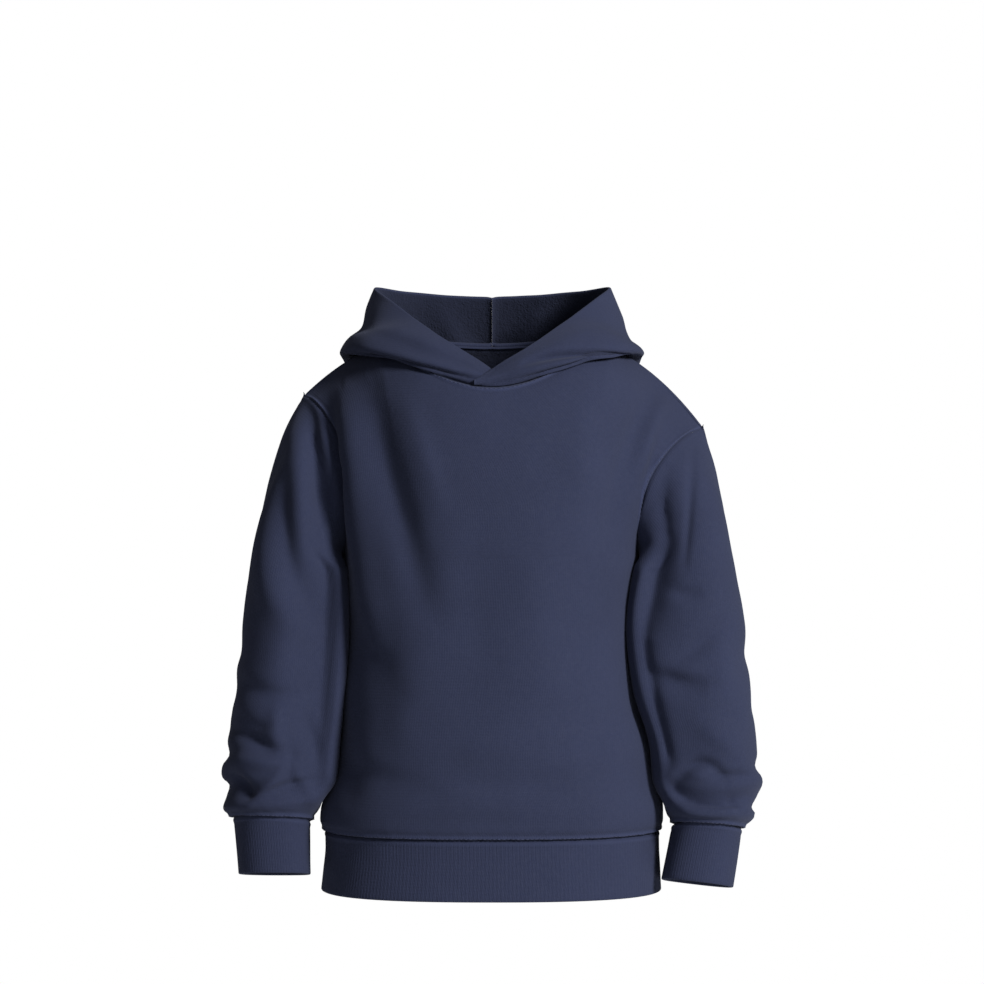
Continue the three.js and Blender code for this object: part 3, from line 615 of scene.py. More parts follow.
def hug(side, grid, out):
    """The inner side of a sleeve comes to rest on the body's curve."""
    sign = SIGN[side]
    x, y, z = np.moveaxis(grid, -1, 0)
    size = row_at(table(BODY_COLUMNS, BODY), "z", np.clip(z, BODY_EDGE_Z, UNDERARM_Z))
    deep = np.where(y < 0, size["front"], size["back"])
    share = np.clip(np.abs(y) / deep, 0, 0.98)
    body = size[side] * (1 - share**BODY_ROUND) ** (1 / BODY_ROUND)
    inward = ramp(0.15, 0.75, -sign * out[..., 0])
    below = ramp(UNDERARM_Z + 12, UNDERARM_Z - 10, z) * ramp(SLEEVE_END_Z, SLEEVE_END_Z + 30, z)
    room = np.clip(sign * x - body - HUG_GAP, 0, HUG_REACH)
    moved = grid.copy()
    moved[..., 0] -= sign * room * inward * below
    return moved


def cuff_grid(side):
    """Rings of a cuff, whose upper edge follows the end of the sleeve."""
    low = dict(zip(CUFF_COLUMNS, CUFFS[side]))
    columns = table(SLEEVE_COLUMNS, SLEEVES[side])
    end = sleeve_sections(side, {name: values[-1:] for name, values in columns.items()})
    end[0][..., 2] -= CUFF_GAP
    edge = (
        np.array([SIGN[side] * low["x"], low["y"], low["z"]]),
        np.array([SIGN[side] * low["half"], 0, low["half"] * low["lean"]]),
        np.array([0, -low["depth"], low["depth"] * CUFF_RISE]),
    )
    long = np.linalg.norm(edge[0] - end[0])
    share = (by_seams(stations([0, long], RIB_STEP), high=False) / long)[:, None]
    blend = (share, share**CUFF_NARROWING, share**CUFF_NARROWING)
    section = [a + (b - a) * part for a, b, part in zip(end, edge, blend)]
    angles = 2 * math.pi * np.arange(CUFF_RIBS * RIB_POINTS) / (CUFF_RIBS * RIB_POINTS)
    return section_points(section, angles, np.array([[SLEEVE_ROUND]]))


def hem_grid():
    half = HEM_RIBS * RIB_POINTS // 4
    u = np.arange(-half, half) / half
    z = by_seams(stations([row[0] for row in HEM], RIB_STEP), low=False)[:, None]
    halves = ring_points(HEM, "front", u[None, :], z), ring_points(HEM, "back", -u[None, :], z)
    return np.concatenate(halves, axis=1)


def neck_points(side, angles):
    """The neckline's points at angles round the neck."""
    sign = SIGN[side]
    turned = np.radians(np.abs(angles))

    def at(face, u):
        u = sign * np.maximum(u, TINY)
        p = yoke_points(face, u, top_angle(face, u), 1)
        return p, np.arctan2(np.abs(p[..., 0]), -p[..., 1])

    found = {}
    for face in ("front", "back"):
        low, high = np.zeros_like(turned), np.full_like(turned, NECK_SHARE)
        found[face] = at(face, solve(low, high, lambda u: at(face, u)[1] - turned))[0]
    corner = at("front", np.array([NECK_SHARE]))[1]
    p = np.where((turned < corner)[:, None], found["front"], found["back"])
    p[:, 0] *= np.where(angles < 0, -1, 1)
    return p


@functools.cache
def hood_grid(side):
    """Rows run from the neck seam over the inner layer and the turn to the rim."""
    sign = SIGN[side]
    columns = table(HOOD_COLUMNS, HOOD)
    angles = stations(columns["angle"], HOOD_ANGLE_STEP)[::-1]
    row = row_at(columns, "angle", angles)
    turned = np.radians(angles)
    away = points(sign * np.sin(turned), -np.cos(turned), 0 * turned)
    seam = neck_points(side, angles)
    seam[:, 2] += HOOD_GAP
    corners = [seam]
    for name in HOOD_CORNERS:
        corner = away * row[name + "_r"][:, None]
        corner[:, 2] = row[name + "_z"]
        corners.append(corner)
    corners = np.stack(corners, axis=1)
    under = ramp(-UNDERLAP["from"], -UNDERLAP["full"], -angles)
    deeper = ramp(-UNDERLAP["deeper"], -UNDERLAP["deepest"], -angles)
    inside = (under + deeper) * (HOOD_PLY + UNDERLAP["space"]) * (side == "left")
    lines = []
    for k, line in enumerate(corners):
        gaps = np.sqrt(np.linalg.norm(np.diff(line, axis=0), axis=1))
        knots = np.concatenate([[0], np.cumsum(gaps)])
        places = [
            knots[i] + (knots[i + 1] - knots[i]) * step / steps
            for i, steps in enumerate(HOOD_STEPS)
            for step in range(steps)
        ]
        at = np.array([*places, knots[-1]])
        made = np.stack([smooth(knots, line[:, axis], at) for axis in range(3)], axis=-1)
        made -= away[k] * inside[k]
        if angles[k] == HOOD_BACK:
            made[:, 0] += sign * SEAM_GAP / 2
        lines.append(made)
    return np.stack(lines, axis=1)


def fold(flat, x0, z0, x1, z1, x2, z2, upper, lower, deep):
    """Depth of one fold at places of a view."""
    t = np.linspace(0, 1, FOLD_PARTS + 1)[:, None]
    ends = (1 - t) ** 2 * np.array([x0, z0]) + t**2 * np.array([x2, z2])
    line = ends + 2 * t * (1 - t) * np.array([x1, z1])
    best = np.full(flat.shape[:2], np.inf)
    along, beside = np.zeros_like(best), np.zeros_like(best)
    for k in range(FOLD_PARTS):
        run = line[k + 1] - line[k]
        off = flat - line[k]
        share = np.clip((off @ run) / (run @ run), 0, 1)
        off = off - share[..., None] * run
        far = np.linalg.norm(off, axis=-1)
        nearer = far < best
        best = np.where(nearer, far, best)
        along = np.where(nearer, (k + share) / FOLD_PARTS, along)
        beside = np.where(nearer, run[0] * off[..., 1] - run[1] * off[..., 0], beside)
    wide = np.where(beside > 0, upper, lower)
    fade = np.sin(math.pi * (FOLD_END + (1 - 2 * FOLD_END) * along)) ** FOLD_FADE
    return deep * fade * np.exp(-((best / wide) ** 2))


def fold_depth(name, grid, directions):
    """How far the folds of a piece press its points in."""
    ahead = ramp(VIEW_REACH, VIEW_REACH / 2, grid[..., 1])
    behind = ramp(-VIEW_REACH, -VIEW_REACH / 2, grid[..., 1])
    views = {
        "front": (-directions[..., 1], ahead, VIEW_DISTANCE / (VIEW_DISTANCE + grid[..., 1])),
        "back": (directions[..., 1], behind, 1),
        "left": (-directions[..., 0], 1, 1),
        "right": (directions[..., 0], 1, 1),
    }
    depth = np.zeros(grid.shape[:2])
    for (on, view), rows in FOLDS.items():
        if on != name:
            continue
        facing, near, scale = views[view]
        across = grid[..., 0] if view in ("front", "back") else grid[..., 1]
        flat = np.stack([across * scale, (grid[..., 2] - VIEW_Z) * scale + VIEW_Z], axis=-1)
        seen = near * ramp(-FOLD_FACING / 2, FOLD_FACING, facing)
        for row in rows:
            depth += seen * fold(flat, *row)
    return depth


def unevenness(grid, seed):
    """Small slow rises and falls, the same in every run."""
    flat = grid.reshape(-1, 3)
    total = np.zeros(len(flat))
    for length, height in UNEVEN:
        for k, p in enumerate(flat):
            total[k] += height * noise.noise(Vector(p / length) + Vector((seed, 0, 0)))
    return total.reshape(grid.shape[:2])


def distances(grid):
    """Distance along the cloth from the first row, the last row, the first and the last column."""
    up = np.linalg.norm(np.diff(grid, axis=0), axis=-1)
    across = np.linalg.norm(np.diff(grid, axis=1), axis=-1)
    up = np.concatenate([np.zeros((1, grid.shape[1])), np.cumsum(up, axis=0)])
    across = np.concatenate([np.zeros((grid.shape[0], 1)), np.cumsum(across, axis=1)], axis=1)
    return up, up[-1] - up, across, across[:, -1:] - across


def seam_dip(away, depth=0.6, reach=1.2):
    """Cloth that turns down into a seam."""
    return depth * np.exp(-((away / reach) ** 2))


def seam_roll(away, along, height=0.9, seed=0.0):
    """A seam allowance under the cloth: a low roll, a groove behind it and puckers."""
    roll = -height * np.exp(-(((away - SEAM_ROLL) / SEAM_WIDTH) ** 2))
    groove = GROOVE_DEPTH * np.exp(-(((away - SEAM_ROLL - GROOVE_AWAY) / GROOVE_WIDTH) ** 2))
    wave = np.sin(along / 1.7 + seed) + 0.8 * np.sin(along / 2.9 + 2.2 * seed)
    pucker = PUCKER * wave * np.exp(-((away / PUCKER_REACH) ** 2))
    return roll + groove + pucker


def line_on(surface, out, away):
    """The line on a surface that runs along its rows at the seam roll's distance from an edge."""
    places, directions = [], []
    for k in range(surface.shape[1]):
        order = np.argsort(away[:, k])
        for made, given in ((places, surface), (directions, out)):
            at = [np.interp(SEAM_ROLL, away[order, k], given[order, k, axis]) for axis in range(3)]
            made.append(at)
    return np.array(places), unit(np.array(directions))


def stitching(context, name, lines):
    """Short stitches of thread along lines on the cloth, each one sunk in at its ends."""
    sizes = context.scene.hoodie_sizes
    length, pitch = sizes.stitch_length / MM, sizes.stitch_pitch / MM
    thick = sizes.thread / MM
    turn = 2 * math.pi * np.arange(STITCH_SIDES) / STITCH_SIDES
    verts, faces = [], []
    for places, directions in lines:
        far = np.concatenate([[0], np.cumsum(np.linalg.norm(np.diff(places, axis=0), axis=1))])
        middles = np.arange(pitch / 2, far[-1] - pitch / 2, pitch)
        for middle in middles:
            start = len(verts)
            for share, thin, sunk in STITCH_FORM:
                at = middle + share * length / 2
                here, up, ahead = (
                    np.array([np.interp(place, far, given[:, axis]) for axis in range(3)])
                    for place, given in ((at, places), (middle, directions), (at + 0.1, places))
                )
                run = unit(ahead - here)
                aside = unit(np.cross(run, up))
                centre = here + up * thick * (0.3 - sunk)
                ring = np.cos(turn)[:, None] * aside + np.sin(turn)[:, None] * up
                verts.extend(centre + ring * thick * thin / 2)
            last = start + (len(STITCH_FORM) - 1) * STITCH_SIDES
            faces.append([start + k for k in range(STITCH_SIDES)][::-1])
            faces.append([last + k for k in range(STITCH_SIDES)])
            for low in range(start, last, STITCH_SIDES):
                for k in range(STITCH_SIDES):
                    nk = (k + 1) % STITCH_SIDES
                    faces.append([low + k, low + nk, low + nk + STITCH_SIDES, low + k + STITCH_SIDES])
    mesh = bpy.data.meshes.new(name)
    mesh.from_pydata((np.array(verts) * MM).tolist(), [], faces)
    mesh.polygons.foreach_set("use_smooth", [True] * len(faces))
    thread = context.scene.hoodie_colours.thread
    mesh.materials.append(plain_material("thread", thread, 0.7, 1400, (0.6, 1.3)))
    piece = bpy.data.objects.new(name, mesh)
    bpy.context.collection.objects.link(piece)
    bpy.ops.object.select_all(action="DESELECT")
    piece.select_set(True)
    bpy.context.view_layer.objects.active = piece
    bpy.ops.object.mode_set(mode="EDIT")
    bpy.ops.mesh.select_all(action="SELECT")
    bpy.ops.mesh.normals_make_consistent(inside=False)
    bpy.ops.object.mode_set(mode="OBJECT")
    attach(piece, "root")
    return piece


def shell(name, outer, inner, ring, materials, edges=(0, 0), seam=None):
    """A closed cloth of two layers.

    Edges gives how far its first and last rows are rounded, and seam each outer point's distance
    from the nearest seam, which its material reads.
    """
    rims = []
    for bulge, row, next_row in ((edges[0], 0, 1), (edges[1], -1, -2)):
        ends = []
        if bulge:
            middle = (outer[row] + inner[row]) / 2
            half = (outer[row] - inner[row]) / 2
            out = unit(middle - (outer[next_row] + inner[next_row]) / 2) * bulge
            ends = [middle + half * math.cos(a) + out * math.sin(a) for a in (0.8, QUARTER, 2.34)]
        rims.append(ends)
    # One closed sheet of rows: up the outside, over the last edge, down the inside, to the start.
    sheet = np.concatenate(
        [outer, *[row[None] for row in rims[1]], inner[::-1], *[row[None] for row in rims[0][::-1]]]
    )
    rows, columns = sheet.shape[:2]
    count = columns if ring else columns - 1
    j, i = np.meshgrid(np.arange(rows), np.arange(count), indexing="ij")
    nj, ni = (j + 1) % rows, (i + 1) % columns
    quads = np.stack([j * columns + i, j * columns + ni, nj * columns + ni, nj * columns + i], axis=-1)
    quads = quads.reshape(-1, 4)
    inside = (j >= len(outer) + len(rims[1])) & (j < len(outer) + len(rims[1]) + len(inner) - 1)
    up, _, across, _ = distances(outer)
    wrap = np.linalg.norm(outer[:, -1] - outer[:, 0], axis=-1)[:, None]
    across = np.concatenate([across, across[:, -1:] + wrap], axis=1)
    up = np.concatenate([up, up[:, :1]], axis=1)
    u_rows = [across, *[across[-1:]] * len(rims[1]), across[::-1], *[across[:1]] * len(rims[0])]
    v_rows = [up, *[up[-1:]] * len(rims[1]), up[::-1], *[up[:1]] * len(rims[0])]
    u_all, v_all = np.concatenate(u_rows), np.concatenate(v_rows)
    uv = np.stack([u_all, v_all], axis=-1) * MM
    corners = np.stack([uv[j, i], uv[j, i + 1], uv[nj, i + 1], uv[nj, i]], axis=2).reshape(-1, 2)
    faces = quads.tolist()
    slots = inside.reshape(-1).astype(int).tolist()
    if not ring:
        top = len(outer)
        for column, flip in ((0, False), (columns - 1, True)):
            for k in range(top - 1):
                a, b = k * columns + column, (k + 1) * columns + column
                c = (rows - 2 - k - len(rims[0])) * columns + column
                d = (rows - 1 - k - len(rims[0])) * columns + column
                face = [a, b, c, d]
                faces.append(face if flip else face[::-1])
                slots.append(0)
                corners = np.concatenate([corners, np.tile(uv[k, column], (4, 1))])
    verts = sheet.reshape(-1, 3) * MM
    tri = np.array([face[:3] for face in faces])
    rest = np.array([[face[0], face[2], face[3]] for face in faces])
    volume = sum(
        np.einsum("ij,ij->i", verts[t[:, 0]], np.cross(verts[t[:, 1]], verts[t[:, 2]])).sum()
        for t in (tri, rest)
    )
    if volume < 0:
        faces = [face[::-1] for face in faces]
        corners = corners.reshape(-1, 4, 2)[:, ::-1].reshape(-1, 2)
    name += "_cloth"
    mesh = bpy.data.meshes.new(name)
    mesh.from_pydata(verts.tolist(), [], faces)
    layer = mesh.uv_layers.new(name="Cloth")
    layer.data.foreach_set("uv", corners.reshape(-1))
    far = np.full(sheet.shape[:2], float(FAR))
    if seam is not None:
        far[: len(outer)] = seam
    mesh.attributes.new("seam", "FLOAT", "POINT").data.foreach_set("value", far.reshape(-1) * MM)
    mesh.polygons.foreach_set("material_index", slots)
    mesh.polygons.foreach_set("use_smooth", [True] * len(faces))
    for material in materials:
        mesh.materials.append(material)
    piece = bpy.data.objects.new(name, mesh)
    bpy.context.collection.objects.link(piece)
    return piece


def declare(piece, node):
    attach(piece, "root")
    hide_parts(node)


def node(tree, kind, links=None, **inputs):
    made = tree.nodes.new(kind)
    for name, value in inputs.items():
        made.inputs[name.replace("_", " ")].default_value = value
    for name, source in (links or {}).items():
        tree.links.new(source, made.inputs[name])
    return made


def mottle(tree, source, scale, detail, low, high):
    """Noise turned into a factor between two bounds."""
    speck = node(tree, "ShaderNodeTexNoise", {"Vector": source}, Scale=scale, Detail=detail)
    span = node(tree, "ShaderNodeMapRange", {"Value": speck.outputs["Fac"]})
    for name, value in (("From Min", 0.25), ("From Max", 0.75), ("To Min", low), ("To Max", high)):
        span.inputs[name].default_value = value
    return span.outputs["Result"]


def waves(tree, source, scale, distortion, direction):
    made = node(tree, "ShaderNodeTexWave", {"Vector": source}, Scale=scale, Distortion=distortion)
    made.bands_direction = direction
    made.inputs["Detail"].default_value = 1.5
    made.inputs["Detail Scale"].default_value = 2.0
    return made.outputs["Fac"]


def mix(tree, factor, a, b):
    made = tree.nodes.new("ShaderNodeMix")
    made.data_type = "RGBA"
    for name, value in (("Factor", factor), ("A", a), ("B", b)):
        socket = next(s for s in made.inputs if s.name == name and s.type in ("RGBA", "VALUE") and s.enabled)
        if hasattr(value, "node"):
            tree.links.new(value, socket)
        else:
            socket.default_value = value
    return next(s for s in made.outputs if s.enabled)


def sum_of(tree, parts):
    """Weighted sum of factors."""
    total = None
    for factor, weight in parts:
        scaled = tree.nodes.new("ShaderNodeMath")
        scaled.operation = "MULTIPLY_ADD"
        tree.links.new(factor, scaled.inputs[0])
        scaled.inputs[1].default_value = weight
        if total:
            tree.links.new(total, scaled.inputs[2])
        else:
            scaled.inputs[2].default_value = 0
        total = scaled.outputs[0]
    return total


def tone(colour, gain):
    return (*[min(c * gain, 1) for c in colour], 1)


def seam_roll_highlight(tree):
    """Factor of a painted highlight on a seam's roll, where light would catch it, by the distance from the
    seam.
    """
    place = tree.nodes.new("ShaderNodeAttribute")
    place.attribute_name = "seam"
    span = node(tree, "ShaderNodeMapRange", {"Value": place.outputs["Fac"]})
    span.inputs["From Max"].default_value = 2 * SEAM_ROLL * MM
    band = tree.nodes.new("ShaderNodeValToRGB")
    tree.links.new(span.outputs["Result"], band.inputs["Fac"])
    stops = band.color_ramp.elements
    stops[0].position, stops[0].color = 0.2, (0, 0, 0, 1)
    stops[1].position, stops[1].color = 0.95, (0, 0, 0, 1)
    for at in (0.42, 0.6):
        stops.new(at).color = (1, 1, 1, 1)
    return band.outputs["Color"]


def cloth_material(name, colour, kind):
    """Knit cloth: wales and rows along the cut, fibre nap, soft mottling and a fibre sheen."""
    found = bpy.data.materials.get(name)
    if found:
        return found
    material = bpy.data.materials.new(name)
    material.use_nodes = True
    tree = material.node_tree
    shader = tree.nodes["Principled BSDF"]
    place = tree.nodes.new("ShaderNodeTexCoord").outputs["Object"]
    cut = tree.nodes.new("ShaderNodeUVMap")
    cut.uv_map = "Cloth"
    along = cut.outputs["UV"]
    wale_scale, row_scale, relief, weights, sheen, roll_highlight_gain = KNIT[kind]
    wale = waves(tree, along, wale_scale, 0.5, "X")
    row = waves(tree, along, row_scale, 0.5, "Y")
    nap = mottle(tree, place, 900.0, 3.0, 0.0, 1.0)
    fuzz = mottle(tree, place, 260.0, 4.0, 0.0, 1.0)
    cloud = mottle(tree, place, 22.0, 3.0, 0.0, 1.0)
    height = sum_of(tree, list(zip((wale, row, nap, fuzz), weights)))
    fibre = mix(tree, nap, tone(colour, 0.82), tone(colour, 1.2))
    worn = mix(tree, cloud, tone(colour, 0.9), tone(colour, 1.12))
    cloth = mix(tree, 0.5, fibre, worn)
    if kind != "nap":
        # Painted highlight: the colour is lighter on each seam's roll, where light would catch the ridge.
        cloth = mix(tree, seam_roll_highlight(tree), cloth, tone(colour, roll_highlight_gain))
    tree.links.new(cloth, shader.inputs["Base Color"])
    tree.links.new(mottle(tree, place, 300.0, 2.0, 0.86, 1.0), shader.inputs["Roughness"])
    shader.inputs["Specular IOR Level"].default_value = 0.25
    shader.inputs["Sheen Weight"].default_value = sheen
    shader.inputs["Sheen Roughness"].default_value = 0.55
    shader.inputs["Sheen Tint"].default_value = (0.55, 0.6, 0.85, 1)
    bump = node(tree, "ShaderNodeBump", {"Height": height}, Strength=0.7, Distance=relief)
    tree.links.new(bump.outputs["Normal"], shader.inputs["Normal"])
    return material


def plain_material(name, colour, roughness, scale, between):
    """One colour that varies between two gains."""
    material = bpy.data.materials.get(name)
    if material:
        return material
    material = bpy.data.materials.new(name)
    material.use_nodes = True
    tree = material.node_tree
    shader = tree.nodes["Principled BSDF"]
    place = tree.nodes.new("ShaderNodeTexCoord").outputs["Object"]
    cloud = mottle(tree, place, scale, 2.0, 0.0, 1.0)
    low, high = (tone(colour, gain) for gain in between)
    tree.links.new(mix(tree, cloud, low, high), shader.inputs["Base Color"])
    shader.inputs["Roughness"].default_value = roughness
    return material


def cloths(context, kind):
    colour = context.scene.hoodie_colours.cloth
    return [
        cloth_material("brushed fleece" if kind == "face" else "fine rib", colour, kind),
        # The inside's darker copy of the cloth colour is painted shade.
        cloth_material("fleece inside with painted shade", tone(colour, INSIDE_SHADE_TONE)[:3], "nap"),
    ]


def length_of(name, description, default):
    return FloatProperty(name=name, description=description, default=default, unit="LENGTH")


def colour_of(name, description, default):
    return FloatVectorProperty(
        name=name, description=description, default=default, size=3, subtype="COLOR"
    )


class HoodieSizes(bpy.types.PropertyGroup):
    """Sizes that a user may change."""

    fold_strength: FloatProperty(
        name="Folds",
        description="Depth of the folds, as a share of the worn ones",
        default=1.0,
        min=0,
        max=2,
        subtype="FACTOR",
    )
    stitch_length: length_of("Stitch length", "Length of one stitch", 2.3 * MM)
    stitch_pitch: length_of("Stitch pitch", "Distance from stitch to stitch", 3.2 * MM)
    thread: length_of("Thread", "Thickness of the thread", 0.5 * MM)


class HoodieColours(bpy.types.PropertyGroup):
    """Colours that a user may change."""

    cloth: colour_of("Cloth", "Navy of the fleece and the rib", (0.0245, 0.0305, 0.066))
    thread: colour_of("Thread", "Navy of the thread", (0.038, 0.046, 0.098))
    floor: colour_of("Floor", "Pale floor", (0.86, 0.86, 0.86))


class HOODIE_OT_body(bpy.types.Operator):
    """Front and back panels"""

    bl_idname = "hoodie.body"
    bl_label = "Body panels"

    def execute(self, context):
        grids, directions = panel_grids()
        strength = context.scene.hoodie_sizes.fold_strength
        for seed, face in enumerate(("front", "back")):
            grid, out = grids[face], directions[face].copy()
            for side in ("left", "right"):
                share_directions(side, out, face)
            low, high, left, right = distances(grid)
            aside = np.minimum(left, right)
            press = strength * fold_depth(face, grid, out) + unevenness(grid, 7.3 * seed)
            press = press * ramp(0, 16, np.minimum(low, high)) * ramp(0, 5, aside)
            within = np.abs(PANEL_U) < NECK_SHARE + TINY
            neck = ramp(-0.02, 0.02, NECK_SHARE - np.abs(PANEL_U))[None, :]
            armhole = ramp(0, 8, np.arange(len(grid)) - UNDERARM_ROW)[:, None]
            press += seam_dip(aside) + seam_dip(high, 0.3) + seam_dip(low)
            press += seam_roll(low, left, seed=seed + 0.4)
            press += neck * (seam_dip(high) + seam_roll(high, left, 0.7, seed + 1.1))
            press += armhole * ramp(3, 16, high) * seam_roll(aside, high, 0.6, seed + 1.7)
            outer = grid - out * press[..., None]
            inner = outer - out * FLEECE
            seam = np.minimum(low, np.where(neck > 0.5, high, FAR))
            seam = np.minimum(seam, np.where(armhole > 0.5, aside, FAR))
            piece = shell(face, outer, inner, False, cloths(context, "face"), seam=seam)
            lines = [line_on(outer, out, low), line_on(outer[:, within], out[:, within], high[:, within])]
            rows = slice(UNDERARM_ROW + 2, int(np.sum(high[:, 0] > 8)))
            turned, sides = outer[rows].swapaxes(0, 1), out[rows].swapaxes(0, 1)
            for away in (left, right):
                lines.append(line_on(turned, sides, away[rows].T))
            seams = stitching(context, face + "_stitches", lines)
            declare(piece, face)
        return {"FINISHED"}


def share_directions(side, out, face):
    """The pieces that meet at an armhole share its outward directions, so their edges stay parallel."""
    column = 0 if side == "left" else -1
    shared = shared_armhole(side)
    if face == "front":
        out[UNDERARM_ROW + 1 :, column] = shared[:UPPER_ROWS][::-1]
        out[UNDERARM_ROW, column] = shared[UPPER_ROWS]
    else:
        out[UNDERARM_ROW:-1, column] = shared[UPPER_ROWS:]
        out[-1, column] = shared[0]


@functools.cache
def shared_armhole(side):
    first = normals_of(sleeve_grid(side), SIGN[side], ring=True)[0]
    return unit(armhole_loop(side, panel_grids()[1]) + first)


class HOODIE_OT_sleeves(bpy.types.Operator):
    """Two set-in sleeves"""

    bl_idname = "hoodie.sleeves"
    bl_label = "Sleeves"

    def execute(self, context):
        strength = context.scene.hoodie_sizes.fold_strength
        for seed, side in enumerate(("left", "right")):
            name = "sleeve_" + side
            grid = sleeve_grid(side)
            out = normals_of(grid, SIGN[side], ring=True)
            out[0] = shared_armhole(side)
            grid = hug(side, grid, out)
            out[1:] = normals_of(grid, SIGN[side], ring=True)[1:]
            low, high, left, _ = distances(grid)
            press = strength * fold_depth(name, grid, out) + unevenness(grid, 20 + 5.1 * seed)
            press = press * (1 - ramp(0.35, 0.8, -SIGN[side] * out[..., 0]))
            press = press * ramp(0, 8, low) * ramp(0, 6, high)
            press += seam_dip(low) + seam_dip(high) + seam_roll(high, left, 0.9, seed + 2.0)
            outer = grid - out * press[..., None]
            inner = outer - out * FLEECE
            piece = shell(name, outer, inner, True, cloths(context, "face"), seam=high)
            closed = [np.concatenate([given, given[:, :1]], axis=1) for given in (outer, out, high)]
            seams = stitching(context, name + "_stitches", [line_on(*closed)])
            declare(piece, name)
        return {"FINISHED"}


class HOODIE_OT_cuffs(bpy.types.Operator):
    """Two cuffs of fine rib"""

    bl_idname = "hoodie.cuffs"
    bl_label = "Cuffs"

    def execute(self, context):
        for seed, side in enumerate(("left", "right")):
            name = "cuff_" + side
            grid = cuff_grid(side)
            out = normals_of(grid, SIGN[side], ring=True)
            low = distances(grid)[0]
            phase = 2 * math.pi * np.arange(grid.shape[1]) / RIB_POINTS
            press = RIB_RELIEF * np.cos(phase)[None, :] * ramp(0, 5, low)
            press += seam_dip(low) + 0.4 * seam_roll(low, np.zeros_like(low))
            press += 0.5 * unevenness(grid, 33 + 4.7 * seed) * ramp(0, 5, low)
            outer = grid - out * press[..., None]
            inner = grid - out * RIB
            piece = shell(name, outer, inner, True, cloths(context, "rib"), (0, 0.8), low)
            declare(piece, name)
        return {"FINISHED"}


class HOODIE_OT_hem(bpy.types.Operator):
    """Hem band of fine rib"""

    bl_idname = "hoodie.hem"
    bl_label = "Hem band"

    def execute(self, context):
        grid = hem_grid()
        out = normals_of(grid, 1, ring=True)
        high = distances(grid)[1]
        phase = 2 * math.pi * np.arange(grid.shape[1]) / RIB_POINTS
        press = RIB_RELIEF * np.cos(phase)[None, :] * ramp(0, 5, high)
        press += seam_dip(high) + 0.4 * seam_roll(high, np.zeros_like(high))
        press += 0.6 * unevenness(grid, 51.0) * ramp(0, 6, high)
        outer = grid - out * press[..., None]
        inner = grid - out * RIB
        piece = shell("hem_band", outer, inner, True, cloths(context, "rib"), (0.8, 0), high)
        declare(piece, "hem_band")
        return {"FINISHED"}


class HOODIE_OT_hood(bpy.types.Operator):
    """Hood of two panels, the right one over the left one in front"""

    bl_idname = "hoodie.hood"
    bl_label = "Hood"

    def execute(self, context):
        strength = context.scene.hoodie_sizes.fold_strength
        for seed, side in enumerate(("left", "right")):
            name = "hood_" + side
            grid = hood_grid(side)
            across = grid[:, 1].copy()
            across[:, 0] *= -1
            out = normals_of(grid, -SIGN[side], sides=(across, None))
            low, _, left, right = distances(grid)
            press = strength * fold_depth(name, grid, out) + unevenness(grid, 60 + 6.1 * seed)
            press = press * ramp(0, 8, low) * ramp(0, 10, left) * ramp(0, 14, right)
            press += seam_dip(left, 1.0, 1.8)
            outer = grid - out * press[..., None]
            inner = outer - out * HOOD_PLY
            piece = shell(name, outer, inner, False, cloths(context, "face"), (0, 1.0))
            declare(piece, name)
        return {"FINISHED"}


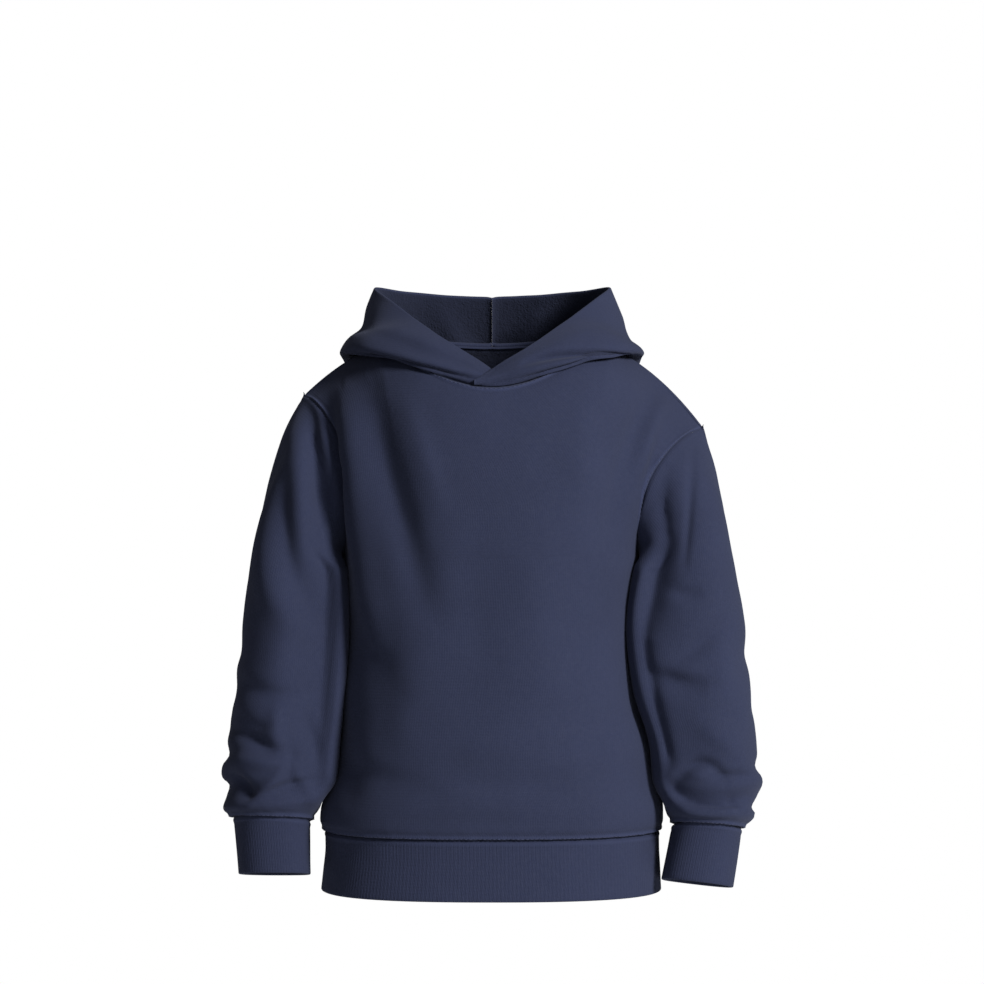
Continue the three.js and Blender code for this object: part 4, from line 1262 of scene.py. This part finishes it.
class HOODIE_OT_stage(bpy.types.Operator):
    """Floor, light and camera"""

    bl_idname = "hoodie.stage"
    bl_label = "Stage"

    def execute(self, context):
        colours = context.scene.hoodie_colours
        bpy.ops.mesh.primitive_circle_add(
            vertices=96, radius=FLOOR_RADIUS, fill_type="NGON", location=(0, 0, FLOOR_Z)
        )
        floor = context.active_object
        floor.name = "floor"
        bpy.ops.object.transform_apply(location=True)
        floor.data.materials.append(plain_material("pale floor", colours.floor, 0.9, 3, (0.985, 1)))
        world = bpy.data.worlds.new("studio")
        context.scene.world = world
        world.use_nodes = True
        sky = world.node_tree.nodes["Background"]
        sky.inputs["Color"].default_value = (1, 1, 1, 1)
        seen = world.node_tree.nodes.new("ShaderNodeLightPath").outputs["Is Camera Ray"]
        strength = world.node_tree.nodes.new("ShaderNodeMapRange")
        strength.inputs["To Min"].default_value = SKY_LIGHT
        strength.inputs["To Max"].default_value = 1.0
        world.node_tree.links.new(seen, strength.inputs["Value"])
        world.node_tree.links.new(strength.outputs["Result"], sky.inputs["Strength"])
        context.scene.view_settings.view_transform = "Standard"
        for name, (place, size, power) in LAMPS.items():
            lamp = bpy.data.lights.new(name, "AREA")
            lamp.shape = "DISK"
            lamp.size = size
            lamp.energy = power
            stand = bpy.data.objects.new(name, lamp)
            stand.location = place
            aim = Vector(LAMP_AIM) - Vector(place)
            stand.rotation_euler = aim.to_track_quat("-Z", "Y").to_euler()
            context.collection.objects.link(stand)
        lens = bpy.data.cameras.new("view")
        lens.sensor_fit = "HORIZONTAL"
        lens.angle = 2 * math.atan(VIEW_HALF_WIDTH / VIEW_DISTANCE)
        camera = bpy.data.objects.new("view", lens)
        camera.location = (0, -VIEW_DISTANCE * MM, VIEW_Z * MM)
        camera.rotation_euler = (QUARTER, 0, 0)
        context.collection.objects.link(camera)
        context.scene.camera = camera
        return {"FINISHED"}


class HOODIE_PT_panel(bpy.types.Panel):
    """Sizes, colours and pieces of the hoodie"""

    bl_idname = "HOODIE_PT_panel"
    bl_label = "Hoodie"
    bl_space_type = "VIEW_3D"
    bl_region_type = "UI"
    bl_category = "Hoodie"

    def draw(self, context):
        for group in (context.scene.hoodie_sizes, context.scene.hoodie_colours):
            for name in group.__annotations__:
                self.layout.prop(group, name)
        for step in STEPS:
            self.layout.operator(step.bl_idname)


STEPS = (
    HOODIE_OT_body,
    HOODIE_OT_sleeves,
    HOODIE_OT_cuffs,
    HOODIE_OT_hem,
    HOODIE_OT_hood,
    HOODIE_OT_stage,
)
CLASSES = (HoodieSizes, HoodieColours, *STEPS, HOODIE_PT_panel)


def register():
    for cls in CLASSES:
        bpy.utils.register_class(cls)
    bpy.types.Scene.hoodie_sizes = PointerProperty(type=HoodieSizes)
    bpy.types.Scene.hoodie_colours = PointerProperty(type=HoodieColours)


def unregister():
    del bpy.types.Scene.hoodie_colours
    del bpy.types.Scene.hoodie_sizes
    for cls in reversed(CLASSES):
        bpy.utils.unregister_class(cls)


def main():
    register()
    for step in STEPS:
        group, call = step.bl_idname.split(".")
        getattr(getattr(bpy.ops, group), call)()


if __name__ == "__main__":
    main()
